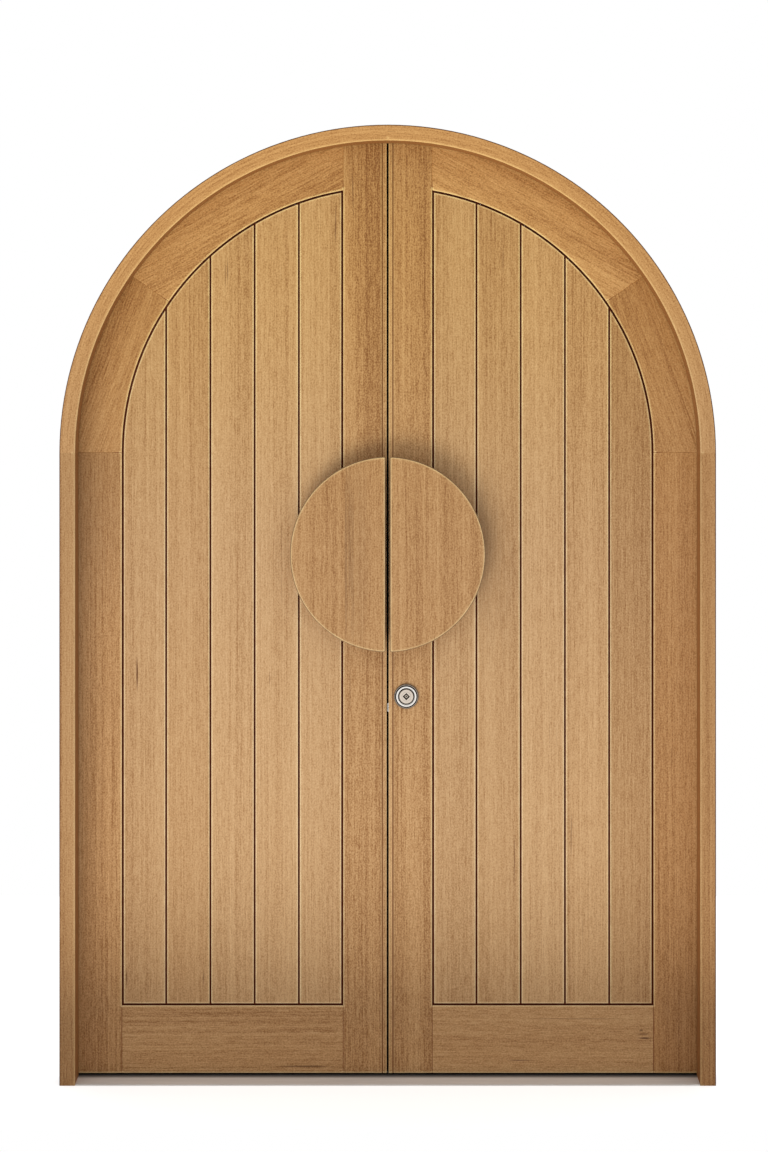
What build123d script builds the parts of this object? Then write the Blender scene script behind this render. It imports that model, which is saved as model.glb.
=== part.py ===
from build123d import *
import os
from math import cos, radians, sin, sqrt

# A pair of arched timber leaves in a timber frame, in millimetres.
# Up is +Z, outside is -Y, inside is +Y. The origin is on the floor, midway across and through the frame.

# Frame
overall_width = 1640.0
overall_height = 2400.0
frame_depth = 120.0
frame_face = 40.0
rebate_step = 12.0
frame_arris = 3.0
dowel_radius = 5.0
dowel_length = 60.0
dowel_slip = 0.1
dowel_depth_shares = (0.25, 0.75)
fixing_radius = 4.25

# Threshold
threshold_nose = 3.0
threshold_height = 8.5
threshold_arris = 0.8

# Leaves
leaf_thickness = 44.0
edge_clearance = 3.0
stop_clearance = 3.0
meeting_gap = 5.0
floor_gap = 4.5
hinge_stile_width = 118.0
meeting_stile_width = 110.0
bottom_rail_height = 171.0
arch_joint_angle = 34.6
timber_arris = 1.0
bead_width = 10.0
quirk_width = 1.5
quirk_depth = 3.0

# Tenons that join the stiles and rails
tenon_thickness = 12.0
tenon_length = 50.0
arch_tenon_width = 56.0
rail_tenon_inset = 34.0
tenon_slip = 0.2

# Tongued boards
board_count = 5
board_thickness = 32.0
board_gap = 3.0
border_gap = 4.0
board_arris = 1.5
tongue_thickness = 10.0
tongue_reach = 8.0
tongue_slip = 0.25
tongue_end_slip = 1.0

# Rubber seals
frame_seal_width = 8.0
frame_seal_inset = 2.0
seal_clearance = 0.3
meeting_seal_thickness = 3.0
meeting_seal_kerf = 5.0
meeting_seal_setback = 5.0
meeting_seal_slit = 2.0
meeting_seal_notch_margin = 7.0
threshold_seal_width = 10.0
threshold_seal_inset = 1.0
threshold_seal_kerf = 3.0
threshold_seal_gap = 1.0
seal_slip = 0.1

# Hinges
hinge_height = 100.0
hinge_bottom_inset = 170.0
hinge_top_inset = 130.0
plate_thickness = 2.5
plate_width = 32.0
knuckle_radius = 6.0
knuckle_count = 5
knuckle_gap = 0.4
knuckle_stand_off = 0.5
pin_radius = 3.0
pin_clearance = 0.05
pin_cap_radius = 4.5
pin_cap_height = 3.0
hinge_screw_spacing = 34.0

# Countersunk screws
screw_radius = 2.2
screw_head_radius = 4.0
screw_head_depth = 1.8
screw_length = 22.0
screw_slip = 0.1
drive_span = 4.4
drive_width = 1.1
drive_depth = 1.5

# Half-round pulls and their posts
pull_radius = 245.0
pull_height = 1325.0
pull_thickness = 18.0
pull_standoff = 34.0
pull_parting = 11.0
pull_corner_radius = 4.0
pull_front_round = 3.0
pull_back_round = 2.5
post_inset = 67.5
post_spacing = 300.0
post_radius = 11.0
stud_radius = 5.0
stud_depth = 13.0
post_slip = 0.1
post_socket_share = 0.6

# Lock
lock_below_pull = 116.0
lock_backset = 44.5
lock_turn_angle = 90.0
forend_thickness = 3.0
forend_width = 22.0
forend_height = 200.0
forend_screw_inset = 12.0
housing_depth = 78.0
housing_thickness = 16.0
housing_height = 140.0
housing_wall = 1.5
housing_slip = 0.3
bolt_drop = 30.0
bolt_height = 23.0
bolt_thickness = 10.0
bolt_length = 80.0
bolt_throw = 18.0
bolt_nose = 3.0
bolt_nose_round = 2.5
bolt_slip = 0.3
lug_width = 16.0
cylinder_radius = 18.0
cylinder_proud = 6.0
cylinder_slip = 0.1
cylinder_bridge_drop = 2.5
plug_radius = 11.0
plug_clearance = 0.05
shaft_radius = 6.0
shaft_socket = 10.0
shaft_slip = 0.05
key_recess_diagonal = 16.6
key_recess_depth = 3.0
key_hole_radius = 1.8
key_hole_depth = 12.0
cam_hub_radius = 8.0
cam_thickness = 8.0
cam_clearance = 0.6
finger_width = 4.0
finger_neck = 2.4
finger_slack = 0.7
rose_radius = 31.0
rose_flange = 5.0
rose_flange_round = 1.5
rose_ring_outer = 27.0
rose_ring_inner = 21.5
rose_ring_height = 8.0
rose_ring_round = 1.4
rose_floor = 2.5
rose_slip = 0.3
thumb_gap = 2.0
thumb_thickness = 9.0
thumb_reach = 22.0
thumb_height = 44.0
thumb_round = 3.0

# Strike plate
strike_thickness = 2.5
strike_width = 22.0
strike_height = 110.0
strike_screw_inset = 10.0
strike_slack = 0.8
strike_pocket_end = 3.0

# Sliding bolts in the edge of the left leaf
rod_radius = 5.0
rod_clearance = 0.08
rod_backset = 18.0
rod_tail = 50.0
rod_tip_inset = 1.5
rod_bore_slack = 0.6
top_rod_throw = 16.0
bottom_rod_throw = 10.0
slide_plate_thickness = 2.5
slide_plate_width = 18.0
slide_plate_height = 180.0
slide_screw_inset = 10.0
slide_screw_length = 11.0
slide_body_depth = 26.0
slide_body_width = 15.0
slide_body_height = 130.0
slide_offset = 150.0
slide_slip = 0.2
slide_thumb_width = 6.0
slide_thumb_height = 12.0
slide_thumb_recess = 0.8
slide_slot_slip = 0.5
keep_wall = 2.0
keep_slack = 1.0
keep_depth = 14.0
keep_slip = 0.05

# How far a cut runs past the face it leaves
overrun = 2.0

# Places that follow from the sizes
sides = {"left": -1, "right": 1}
BASE = (Align.CENTER, Align.CENTER, Align.MIN)
frame_front = -frame_depth / 2
frame_back = frame_depth / 2
outer_radius = overall_width / 2
spring_height = overall_height - outer_radius
stop_radius = outer_radius - frame_face
rebate_radius = stop_radius + rebate_step
jamb_mid = (stop_radius + outer_radius) / 2
jamb_web = outer_radius - rebate_radius

leaf_radius = rebate_radius - edge_clearance
leaf_back = frame_back
leaf_front = leaf_back - leaf_thickness
leaf_mid = leaf_back - leaf_thickness / 2
leaf_bottom = threshold_height + floor_gap
leaf_edge = meeting_gap / 2
stop_y = leaf_front - stop_clearance

panel_radius = leaf_radius - hinge_stile_width
panel_edge = leaf_edge + meeting_stile_width
quirk_mouth = quirk_width + 2 * timber_arris
rail_top = leaf_bottom + bottom_rail_height
rail_mid = (panel_radius + leaf_radius) / 2
rail_tenon_width = bottom_rail_height - 2 * rail_tenon_inset
rail_tenon_z = leaf_bottom + bottom_rail_height / 2
arch_tenon_z = spring_height + (
    sqrt(panel_radius**2 - panel_edge**2) + sqrt(leaf_radius**2 - panel_edge**2)
) / 2

board_pitch = (panel_radius - panel_edge) / board_count
groove_depth = tongue_reach + tongue_end_slip
groove_width = tongue_thickness + 2 * tongue_slip
tongue_mid = leaf_front + board_thickness / 2
tongue_back = tongue_mid + tongue_thickness / 2
groove_back = tongue_mid + groove_width / 2

hinge_x = (rebate_radius + leaf_radius) / 2
hinge_y = leaf_back + knuckle_stand_off + knuckle_radius
lowest_hinge = leaf_bottom + hinge_bottom_inset
highest_hinge = spring_height - hinge_top_inset
hinge_heights = (lowest_hinge, (lowest_hinge + highest_hinge) / 2, highest_hinge)
plate_y = leaf_back - plate_width / 2
knuckle_pitch = hinge_height / knuckle_count
knuckle_length = knuckle_pitch - knuckle_gap

dowel_depths = [frame_front + share * (stop_y - frame_front) for share in dowel_depth_shares]
fixing_y = (stop_y + frame_back) / 2
fixing_heights = [(low + high) / 2 for low, high in zip(hinge_heights, hinge_heights[1:])]

post_x = leaf_edge + post_inset
post_heights = (pull_height - post_spacing / 2, pull_height + post_spacing / 2)
post_socket = post_socket_share * pull_standoff

lock_x = leaf_edge + lock_backset
lock_height = pull_height - pull_radius - lock_below_pull
bolt_z = lock_height - bolt_drop
housing_z = (lock_height + bolt_z) / 2
housing_x = leaf_edge + forend_thickness + housing_depth / 2
window_width = housing_thickness - 2 * housing_wall
window_front = leaf_mid - window_width / 2
window_back = leaf_mid + window_width / 2
cylinder_length = leaf_thickness + 2 * cylinder_proud
cam_reach = bolt_throw / (2 * sin(radians(lock_turn_angle / 2)))
lug_x = lock_x + bolt_throw / 2
lug_top = lock_height - cam_hub_radius - cam_clearance
lug_slot_bottom = lock_height - cam_reach - finger_width / 2 - cam_clearance
rose_bore = cylinder_radius + rose_slip

rod_x = leaf_edge + rod_backset
keep_radius = rod_radius + keep_slack
keep_bottom = spring_height + rebate_radius
slides = {
    "top": (1, spring_height + leaf_radius - rod_tip_inset, top_rod_throw),
    "bottom": (-1, leaf_bottom + rod_tip_inset, bottom_rod_throw),
}
forend_screw_heights = [housing_z + end * (forend_height / 2 - forend_screw_inset) for end in (-1, 1)]
strike_screw_heights = [bolt_z + end * (strike_height / 2 - strike_screw_inset) for end in (-1, 1)]


def facing(depth):
    """Upright plane at a depth, with across as X and up as Z. Extruding goes towards the outside."""
    return Plane.XZ.offset(-depth)


def along_x(places, direction):
    """Planes at some places that look along X, one way or the other."""
    return [Plane(place, z_dir=(direction, 0, 0)) for place in places]


def along_y(places, direction):
    """Planes at some places that look along Y, one way or the other."""
    return [Plane(place, z_dir=(0, direction, 0)) for place in places]


def save(piece, name):
    """Label one finished piece and write its file."""
    piece.part.label = name
    export_step(piece.part, f"parts/{name}.step")


def arch_outline(radius, bottom, mode=Mode.ADD):
    """Straight sides with a half circle on top, drawn in the open sketch."""
    with Locations((0, spring_height)):
        Circle(radius, mode=mode)
    with Locations((0, (spring_height + bottom) / 2)):
        Rectangle(2 * radius, spring_height - bottom, mode=mode)


def threshold_strip(slip=0, mode=Mode.ADD):
    """Rubber strip let into the threshold under the outer edge of the leaves, or the groove for it."""
    bottom = threshold_height - threshold_seal_kerf - slip
    strip_y = leaf_front + threshold_seal_inset + threshold_seal_width / 2
    height = leaf_bottom - threshold_seal_gap - bottom
    with Locations((0, strip_y, bottom)):
        Box(2 * (leaf_radius + slip), threshold_seal_width + 2 * slip, height, align=BASE, mode=mode)


def upright_strip(near, far, mode=Mode.INTERSECT):
    """Full-height strip between two places across, drawn in the open sketch."""
    with Locations(((near + far) / 2, overall_height / 2)):
        Rectangle(abs(far - near), overall_height, mode=mode)


def arch_segment(hand, start_angle, end_angle):
    """Length of the curved rail between two angles above the spring line, drawn in the open sketch."""
    reach = 2 * leaf_radius
    corners = [(hand * reach * cos(radians(a)), reach * sin(radians(a))) for a in (start_angle, end_angle)]
    with Locations((0, spring_height)):
        Circle(leaf_radius)
        Circle(panel_radius, mode=Mode.SUBTRACT)
        Polygon((0, 0), *corners, align=None, mode=Mode.INTERSECT)


def arch_joint(hand):
    """Plane on the joint between the two curved rails, looking into the lower one."""
    angle = radians(arch_joint_angle)
    origin = (hand * rail_mid * cos(angle), leaf_mid, spring_height + rail_mid * sin(angle))
    across = (hand * cos(angle), 0, sin(angle))
    into_lower = (hand * sin(angle), 0, -cos(angle))
    return Plane(origin, x_dir=across, z_dir=into_lower)


def soften(piece, size):
    """Chamfer the outlines of a piece's outer and inner faces."""
    for end in (0, -1):
        chamfer(piece.faces().sort_by(Axis.Y)[end].outer_wire().edges(), size)


def cut_panel_groove(hand, edge):
    """Upright groove that takes the tongues of the boards, from an edge into a stile."""
    into = 1 if edge == panel_radius else -1
    bottom = rail_top - groove_depth
    height = spring_height + panel_radius + groove_depth - bottom
    with Locations((hand * (edge + into * groove_depth / 2), tongue_mid, bottom + height / 2)):
        Box(groove_depth, groove_width, height, mode=Mode.SUBTRACT)


def screws(planes, slip=0, mode=Mode.ADD, length=screw_length):
    """Countersunk screws with cross recesses and their heads on the given planes, or the holes for them."""
    with Locations(*planes):
        Cylinder(screw_radius + slip, length + slip, align=BASE, mode=mode)
        Cone(screw_head_radius + slip, screw_radius + slip, screw_head_depth, align=BASE, mode=mode)
        if mode == Mode.ADD:
            Box(drive_span, drive_width, drive_depth, align=BASE, mode=Mode.SUBTRACT)
            Box(drive_width, drive_span, drive_depth, align=BASE, mode=Mode.SUBTRACT)


def hinge_screw_planes(hand, face, direction):
    """Screw places of one side's hinge plates, from a plate's face into the timber."""
    spacings = (-hinge_screw_spacing, 0, hinge_screw_spacing)
    return along_x([(hand * face, plate_y, z + s) for z in hinge_heights for s in spacings], direction)


def cut_hinge_recesses(hand, face, into):
    """Recesses for one side's hinge plates and holes for their screws."""
    places = [(hand * (face + into * plate_thickness / 2), plate_y, z) for z in hinge_heights]
    with Locations(*places):
        Box(plate_thickness, plate_width, hinge_height, mode=Mode.SUBTRACT)
    screws(hinge_screw_planes(hand, face, hand * into), screw_slip, Mode.SUBTRACT)


def hinge_plates(hand, face, into, knuckles):
    """One side's three hinge plates with their share of the knuckles."""
    plate_x = hand * (face + into * plate_thickness / 2)
    for height in hinge_heights:
        with Locations((plate_x, plate_y, height)):
            Box(plate_thickness, plate_width, hinge_height)
        levels = [height - hinge_height / 2 + (k + 1 / 2) * knuckle_pitch for k in knuckles]
        with Locations(*[(plate_x, (leaf_back + hinge_y) / 2, z) for z in levels]):
            Box(plate_thickness, hinge_y - leaf_back, knuckle_length)
        with Locations(*[(hand * hinge_x, hinge_y, z) for z in levels]):
            Cylinder(knuckle_radius, knuckle_length)
        with Locations((hand * hinge_x, hinge_y, height)):
            Cylinder(pin_radius + pin_clearance, hinge_height + overrun, mode=Mode.SUBTRACT)
    screws(hinge_screw_planes(hand, face, hand * into), screw_slip, Mode.SUBTRACT)


def edge_plate(hand, thickness, width, height, mid_height, slip=0, mode=Mode.ADD):
    """Plate let in flush with the meeting edge of a leaf, or the recess for it."""
    with Locations((hand * (leaf_edge + thickness / 2), leaf_mid, mid_height)):
        Box(thickness, width + 2 * slip, height + 2 * slip, mode=mode)


def edge_screw_planes(hand, heights):
    """Screw places down the middle of a leaf's meeting edge."""
    return along_x([(hand * leaf_edge, leaf_mid, z) for z in heights], hand)


def slide_mid(name):
    """Middle height of a sliding bolt's housing."""
    up, tip, throw = slides[name]
    return tip - up * slide_offset


def slide_screw_planes(name):
    """Places of the two short screws of a sliding bolt's housing."""
    reach = slide_plate_height / 2 - slide_screw_inset
    return edge_screw_planes(-1, [slide_mid(name) + end * reach for end in (-1, 1)])


def slide_housing(name, slip=0, mode=Mode.ADD):
    """Face plate and body of a sliding bolt's housing, or the recess for them."""
    mid = slide_mid(name)
    edge_plate(-1, slide_plate_thickness, slide_plate_width, slide_plate_height, mid, slip, mode)
    edge_plate(-1, slide_body_depth, slide_body_width, slide_body_height, mid, slip, mode)


def rose(face, outward):
    """Turned ring round the lock cylinder, standing on one face of the leaf."""
    with BuildSketch(Plane((lock_x, face, lock_height), x_dir=(1, 0, 0), z_dir=(0, 0, 1))) as profile:
        with BuildLine():
            Polyline(
                (rose_bore, 0),
                (rose_bore, outward * rose_floor),
                (rose_ring_inner, outward * rose_floor),
                (rose_ring_inner, outward * rose_ring_height),
                (rose_ring_outer, outward * rose_ring_height),
                (rose_ring_outer, outward * rose_flange),
                (rose_radius, outward * rose_flange),
                (rose_radius, 0),
                close=True,
            )
        make_face()
    revolve(profile.sketch, Axis((lock_x, face, lock_height), (0, 1, 0)))


os.makedirs("parts", exist_ok=True)

# Frame timbers
for side, hand in sides.items():
    with BuildPart() as jamb:
        with BuildSketch(Plane.XY):
            with Locations((hand * (stop_radius + outer_radius) / 2, 0)):
                Rectangle(frame_face, frame_depth)
            with Locations((hand * (stop_radius + rebate_radius) / 2, (stop_y + frame_back) / 2)):
                Rectangle(rebate_step, frame_back - stop_y, mode=Mode.SUBTRACT)
        extrude(amount=spring_height)
        fillet(jamb.edges().filter_by(Axis.Z).group_by(Axis.Y)[0], frame_arris)
        chamfer(jamb.edges().filter_by(Axis.Z).group_by(Axis.Y)[-1], timber_arris)
        cut_hinge_recesses(hand, rebate_radius, 1)
        with Locations(*along_x([(hand * rebate_radius, fixing_y, z) for z in fixing_heights], hand)):
            Cylinder(fixing_radius, jamb_web + overrun, align=BASE, mode=Mode.SUBTRACT)
        with Locations(*[(hand * jamb_mid, y, spring_height) for y in dowel_depths]):
            Cylinder(dowel_radius + dowel_slip, dowel_length + dowel_slip, mode=Mode.SUBTRACT)
    save(jamb, f"{side}_jamb")

    with BuildPart() as head:
        with BuildSketch(facing(frame_back)):
            with Locations((0, spring_height)):
                Circle(outer_radius)
                Circle(stop_radius, mode=Mode.SUBTRACT)
            with Locations((hand * outer_radius / 2, spring_height + outer_radius / 2)):
                Rectangle(outer_radius, outer_radius, mode=Mode.INTERSECT)
        extrude(amount=frame_depth)
        with BuildSketch(facing(frame_back)):
            with Locations((0, spring_height)):
                Circle(rebate_radius)
        extrude(amount=frame_back - stop_y, mode=Mode.SUBTRACT)
        fillet(head.faces().sort_by(Axis.Y)[0].edges().filter_by(GeomType.CIRCLE), frame_arris)
        chamfer(head.faces().sort_by(Axis.Y)[-1].edges().filter_by(GeomType.CIRCLE), timber_arris)
        spring_dowels = [Plane((hand * jamb_mid, y, spring_height)) for y in dowel_depths]
        top_dowels = along_x([(0, y, spring_height + jamb_mid) for y in dowel_depths], 1)
        with Locations(*spring_dowels, *top_dowels):
            Cylinder(dowel_radius + dowel_slip, dowel_length + dowel_slip, mode=Mode.SUBTRACT)
        if side == "left":
            with Locations((-rod_x, leaf_mid, keep_bottom - rebate_step)):
                Cylinder(
                    keep_radius + keep_wall + keep_slip,
                    rebate_step + keep_depth,
                    align=BASE,
                    mode=Mode.SUBTRACT,
                )
    save(head, f"{side}_head")

with BuildPart() as frame_dowels:
    hands = sides.values()
    spring_dowels = [Plane((hand * jamb_mid, y, spring_height)) for hand in hands for y in dowel_depths]
    top_dowels = along_x([(0, y, spring_height + jamb_mid) for y in dowel_depths], 1)
    with Locations(*spring_dowels, *top_dowels):
        Cylinder(dowel_radius, dowel_length)
save(frame_dowels, "frame_dowels")

with BuildPart() as head_bolt_keep:
    with Locations((-rod_x, leaf_mid, keep_bottom)):
        Cylinder(keep_radius + keep_wall, keep_depth, align=BASE)
        Cylinder(keep_radius, keep_depth, align=BASE, mode=Mode.SUBTRACT)
save(head_bolt_keep, "head_bolt_keep")

# Threshold, sloping up from its nose to the stop and flat under the leaves
with BuildPart() as threshold:
    with BuildSketch(Plane.YZ.offset(-stop_radius)):
        with BuildLine():
            Polyline(
                (frame_front, 0),
                (frame_front, threshold_nose),
                (stop_y, threshold_height),
                (frame_back, threshold_height),
                (frame_back, 0),
                close=True,
            )
        make_face()
    extrude(amount=2 * stop_radius)
    nose_edges = threshold.edges().filter_by(Axis.X).group_by(Axis.Y)[0]
    fillet(nose_edges.sort_by(Axis.Z)[-1], threshold_arris)
    with Locations((0, (stop_y + frame_back) / 2, 0)):
        Box(2 * rebate_radius, frame_back - stop_y, threshold_height, align=BASE)
    with Locations((-rod_x, leaf_mid, 0)):
        Cylinder(keep_radius, threshold_height + overrun, align=BASE, mode=Mode.SUBTRACT)
    threshold_strip(seal_slip, Mode.SUBTRACT)
save(threshold, "threshold")

with BuildPart() as threshold_seal:
    threshold_strip()
save(threshold_seal, "threshold_seal")

# Seal in the rebate, on the face of the stop
with BuildPart() as frame_seal:
    frame_seal_depth = stop_clearance - seal_clearance
    with BuildSketch(facing(stop_y + frame_seal_depth)):
        arch_outline(stop_radius + frame_seal_inset + frame_seal_width, threshold_height)
        arch_outline(stop_radius + frame_seal_inset, threshold_height, Mode.SUBTRACT)
    extrude(amount=frame_seal_depth)
save(frame_seal, "frame_seal")

# Hinges: the frame's plates carry three knuckles and the pin, and the leaf's plates carry two
frame_knuckles = range(0, knuckle_count, 2)
leaf_knuckles = range(1, knuckle_count, 2)
with BuildPart() as frame_hinge_plates:
    for hand in sides.values():
        hinge_plates(hand, rebate_radius, 1, frame_knuckles)
save(frame_hinge_plates, "frame_hinge_plates")

with BuildPart() as frame_hinge_screws:
    for hand in sides.values():
        screws(hinge_screw_planes(hand, rebate_radius, hand))
save(frame_hinge_screws, "frame_hinge_screws")

with BuildPart() as hinge_pins:
    pin_places = [(hand * hinge_x, hinge_y, z) for hand in sides.values() for z in hinge_heights]
    cap_drop = (hinge_height - knuckle_gap + pin_cap_height) / 2
    with Locations(*pin_places):
        Cylinder(pin_radius, hinge_height)
    with Locations(*[(x, y, z + end * cap_drop) for x, y, z in pin_places for end in (-1, 1)]):
        Cylinder(pin_cap_radius, pin_cap_height)
save(hinge_pins, "hinge_pins")

for side, hand in sides.items():
    with BuildPart() as leaf_hinge_plates:
        hinge_plates(hand, leaf_radius, -1, leaf_knuckles)
    save(leaf_hinge_plates, f"{side}_leaf_hinge_plates")

    with BuildPart() as leaf_hinge_screws:
        screws(hinge_screw_planes(hand, leaf_radius, -hand))
    save(leaf_hinge_screws, f"{side}_leaf_hinge_screws")

# Stiles and rails
for side, hand in sides.items():
    with BuildPart() as hinge_stile:
        with BuildSketch(facing(leaf_back)):
            with Locations((hand * rail_mid, (leaf_bottom + spring_height) / 2)):
                Rectangle(hinge_stile_width, spring_height - leaf_bottom)
        extrude(amount=leaf_thickness)
        soften(hinge_stile, timber_arris)
        cut_panel_groove(hand, panel_radius)
        with Locations((hand * (panel_radius + tenon_length / 2), leaf_mid, rail_tenon_z)):
            Box(
                tenon_length + 2 * tenon_slip,
                tenon_thickness + 2 * tenon_slip,
                rail_tenon_width + 2 * tenon_slip,
                mode=Mode.SUBTRACT,
            )
        with Locations((hand * rail_mid, leaf_mid, spring_height - tenon_length / 2)):
            Box(
                arch_tenon_width + 2 * tenon_slip,
                tenon_thickness + 2 * tenon_slip,
                tenon_length + 2 * tenon_slip,
                mode=Mode.SUBTRACT,
            )
        cut_hinge_recesses(hand, leaf_radius, -1)
    save(hinge_stile, f"{side}_hinge_stile")

    with BuildPart() as meeting_stile:
        with BuildSketch(facing(leaf_back)):
            arch_outline(leaf_radius, leaf_bottom)
            upright_strip(hand * leaf_edge, hand * panel_edge)
        extrude(amount=leaf_thickness)
        soften(meeting_stile, timber_arris)
        cut_panel_groove(hand, panel_edge)
        with BuildSketch(Plane.XY):
            with Locations((hand * (leaf_edge + bead_width + quirk_width / 2), leaf_front)):
                Rectangle(quirk_width, 2 * quirk_depth)
                Rectangle(quirk_mouth / sqrt(2), quirk_mouth / sqrt(2), rotation=45)
        extrude(amount=overall_height, mode=Mode.SUBTRACT)
        with Locations((hand * (panel_edge - tenon_length / 2), leaf_mid, rail_tenon_z)):
            Box(
                tenon_length + 2 * tenon_slip,
                tenon_thickness + 2 * tenon_slip,
                rail_tenon_width + 2 * tenon_slip,
                mode=Mode.SUBTRACT,
            )
        with Locations((hand * (panel_edge - tenon_length / 2), leaf_mid, arch_tenon_z)):
            Box(
                tenon_length + 2 * tenon_slip,
                tenon_thickness + 2 * tenon_slip,
                arch_tenon_width + 2 * tenon_slip,
                mode=Mode.SUBTRACT,
            )
        with Locations((hand * leaf_edge, leaf_back - meeting_seal_setback, overall_height / 2)):
            Box(
                2 * (meeting_seal_kerf + seal_slip),
                meeting_seal_thickness + 2 * seal_slip,
                overall_height,
                mode=Mode.SUBTRACT,
            )
        with Locations(*along_y([(hand * post_x, leaf_front, z) for z in post_heights], 1)):
            Cylinder(stud_radius + post_slip, leaf_thickness, align=BASE, mode=Mode.SUBTRACT)
        if side == "right":
            edge_plate(
                hand,
                forend_thickness,
                forend_width,
                forend_height,
                housing_z,
                housing_slip,
                Mode.SUBTRACT,
            )
            with Locations((housing_x, leaf_mid, housing_z)):
                Box(
                    housing_depth + 2 * housing_slip,
                    housing_thickness + 2 * housing_slip,
                    housing_height + 2 * housing_slip,
                    mode=Mode.SUBTRACT,
                )
            with Locations(*along_y([(lock_x, leaf_front, lock_height)], 1)):
                Cylinder(cylinder_radius + cylinder_slip, leaf_thickness, align=BASE, mode=Mode.SUBTRACT)
            screws(edge_screw_planes(hand, forend_screw_heights), screw_slip, Mode.SUBTRACT)
        else:
            edge_plate(
                hand,
                strike_thickness,
                strike_width,
                strike_height,
                bolt_z,
                slide_slip,
                Mode.SUBTRACT,
            )
            edge_plate(
                hand,
                bolt_throw + strike_pocket_end,
                bolt_thickness,
                bolt_height,
                bolt_z,
                strike_slack,
                Mode.SUBTRACT,
            )
            screws(edge_screw_planes(hand, strike_screw_heights), screw_slip, Mode.SUBTRACT)
            for name, (up, tip, throw) in slides.items():
                slide_housing(name, slide_slip, Mode.SUBTRACT)
                bore_length = slide_offset + 2 * rod_tip_inset + overrun
                with Locations((hand * rod_x, leaf_mid, tip - up * slide_offset / 2)):
                    Cylinder(rod_radius + rod_bore_slack, bore_length, mode=Mode.SUBTRACT)
                screws(slide_screw_planes(name), screw_slip, Mode.SUBTRACT, slide_screw_length)
    save(meeting_stile, f"{side}_meeting_stile")

    with BuildPart() as lower_arch_rail:
        with BuildSketch(facing(leaf_back)):
            arch_segment(hand, 0, arch_joint_angle)
        extrude(amount=leaf_thickness)
        soften(lower_arch_rail, timber_arris)
        with BuildSketch(facing(groove_back)):
            with Locations((0, spring_height)):
                Circle(panel_radius + groove_depth)
        extrude(amount=groove_width, mode=Mode.SUBTRACT)
        with Locations((hand * rail_mid, leaf_mid, spring_height - tenon_length)):
            Box(arch_tenon_width, tenon_thickness, tenon_length, align=BASE)
        with Locations(arch_joint(hand)):
            Box(
                arch_tenon_width + 2 * tenon_slip,
                tenon_thickness + 2 * tenon_slip,
                tenon_length + tenon_slip,
                align=BASE,
                mode=Mode.SUBTRACT,
            )
    save(lower_arch_rail, f"{side}_lower_arch_rail")

    with BuildPart() as upper_arch_rail:
        with BuildSketch(facing(leaf_back)):
            arch_segment(hand, arch_joint_angle, 90)
            upright_strip(-panel_edge, panel_edge, Mode.SUBTRACT)
        extrude(amount=leaf_thickness)
        soften(upper_arch_rail, timber_arris)
        with BuildSketch(facing(groove_back)):
            with Locations((0, spring_height)):
                Circle(panel_radius + groove_depth)
        extrude(amount=groove_width, mode=Mode.SUBTRACT)
        with Locations(arch_joint(hand)):
            Box(arch_tenon_width, tenon_thickness, tenon_length, align=BASE)
        with Locations((hand * (panel_edge - tenon_length / 2), leaf_mid, arch_tenon_z)):
            Box(tenon_length, tenon_thickness, arch_tenon_width)
    save(upper_arch_rail, f"{side}_upper_arch_rail")

    with BuildPart() as bottom_rail:
        with BuildSketch(facing(leaf_back)):
            with Locations((hand * (panel_edge + panel_radius) / 2, rail_tenon_z)):
                Rectangle(panel_radius - panel_edge, bottom_rail_height)
        extrude(amount=leaf_thickness)
        soften(bottom_rail, timber_arris)
        with Locations((hand * (panel_edge + panel_radius) / 2, tongue_mid, rail_top - groove_depth / 2)):
            Box(panel_radius - panel_edge, groove_width, groove_depth, mode=Mode.SUBTRACT)
        with Locations((hand * (panel_edge + panel_radius) / 2, leaf_mid, rail_tenon_z)):
            Box(panel_radius - panel_edge + 2 * tenon_length, tenon_thickness, rail_tenon_width)
    save(bottom_rail, f"{side}_bottom_rail")

    # Boards, counted from the meeting stile
    for number in range(board_count):
        first = number == 0
        last = number == board_count - 1
        inner_edge = panel_edge + number * board_pitch + (border_gap if first else board_gap / 2)
        outer_edge = panel_edge + (number + 1) * board_pitch - (border_gap if last else board_gap / 2)
        tongue_start = panel_edge - tongue_reach if first else inner_edge
        tongue_end = tongue_reach + (panel_radius if last else outer_edge + board_gap)
        with BuildPart() as board:
            with BuildSketch(facing(leaf_front + board_thickness)):
                arch_outline(panel_radius - border_gap, rail_top + border_gap)
                upright_strip(hand * inner_edge, hand * outer_edge)
            extrude(amount=board_thickness)
            soften(board, board_arris)
            with BuildSketch(facing(tongue_back)):
                arch_outline(panel_radius + tongue_reach, rail_top - tongue_reach)
                upright_strip(hand * tongue_start, hand * tongue_end)
            extrude(amount=tongue_thickness)
            if not first:
                with Locations((hand * (inner_edge + groove_depth / 2), tongue_mid, overall_height / 2)):
                    Box(groove_depth, groove_width, overall_height, mode=Mode.SUBTRACT)
        save(board, f"{side}_board_{number + 1}")

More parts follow.
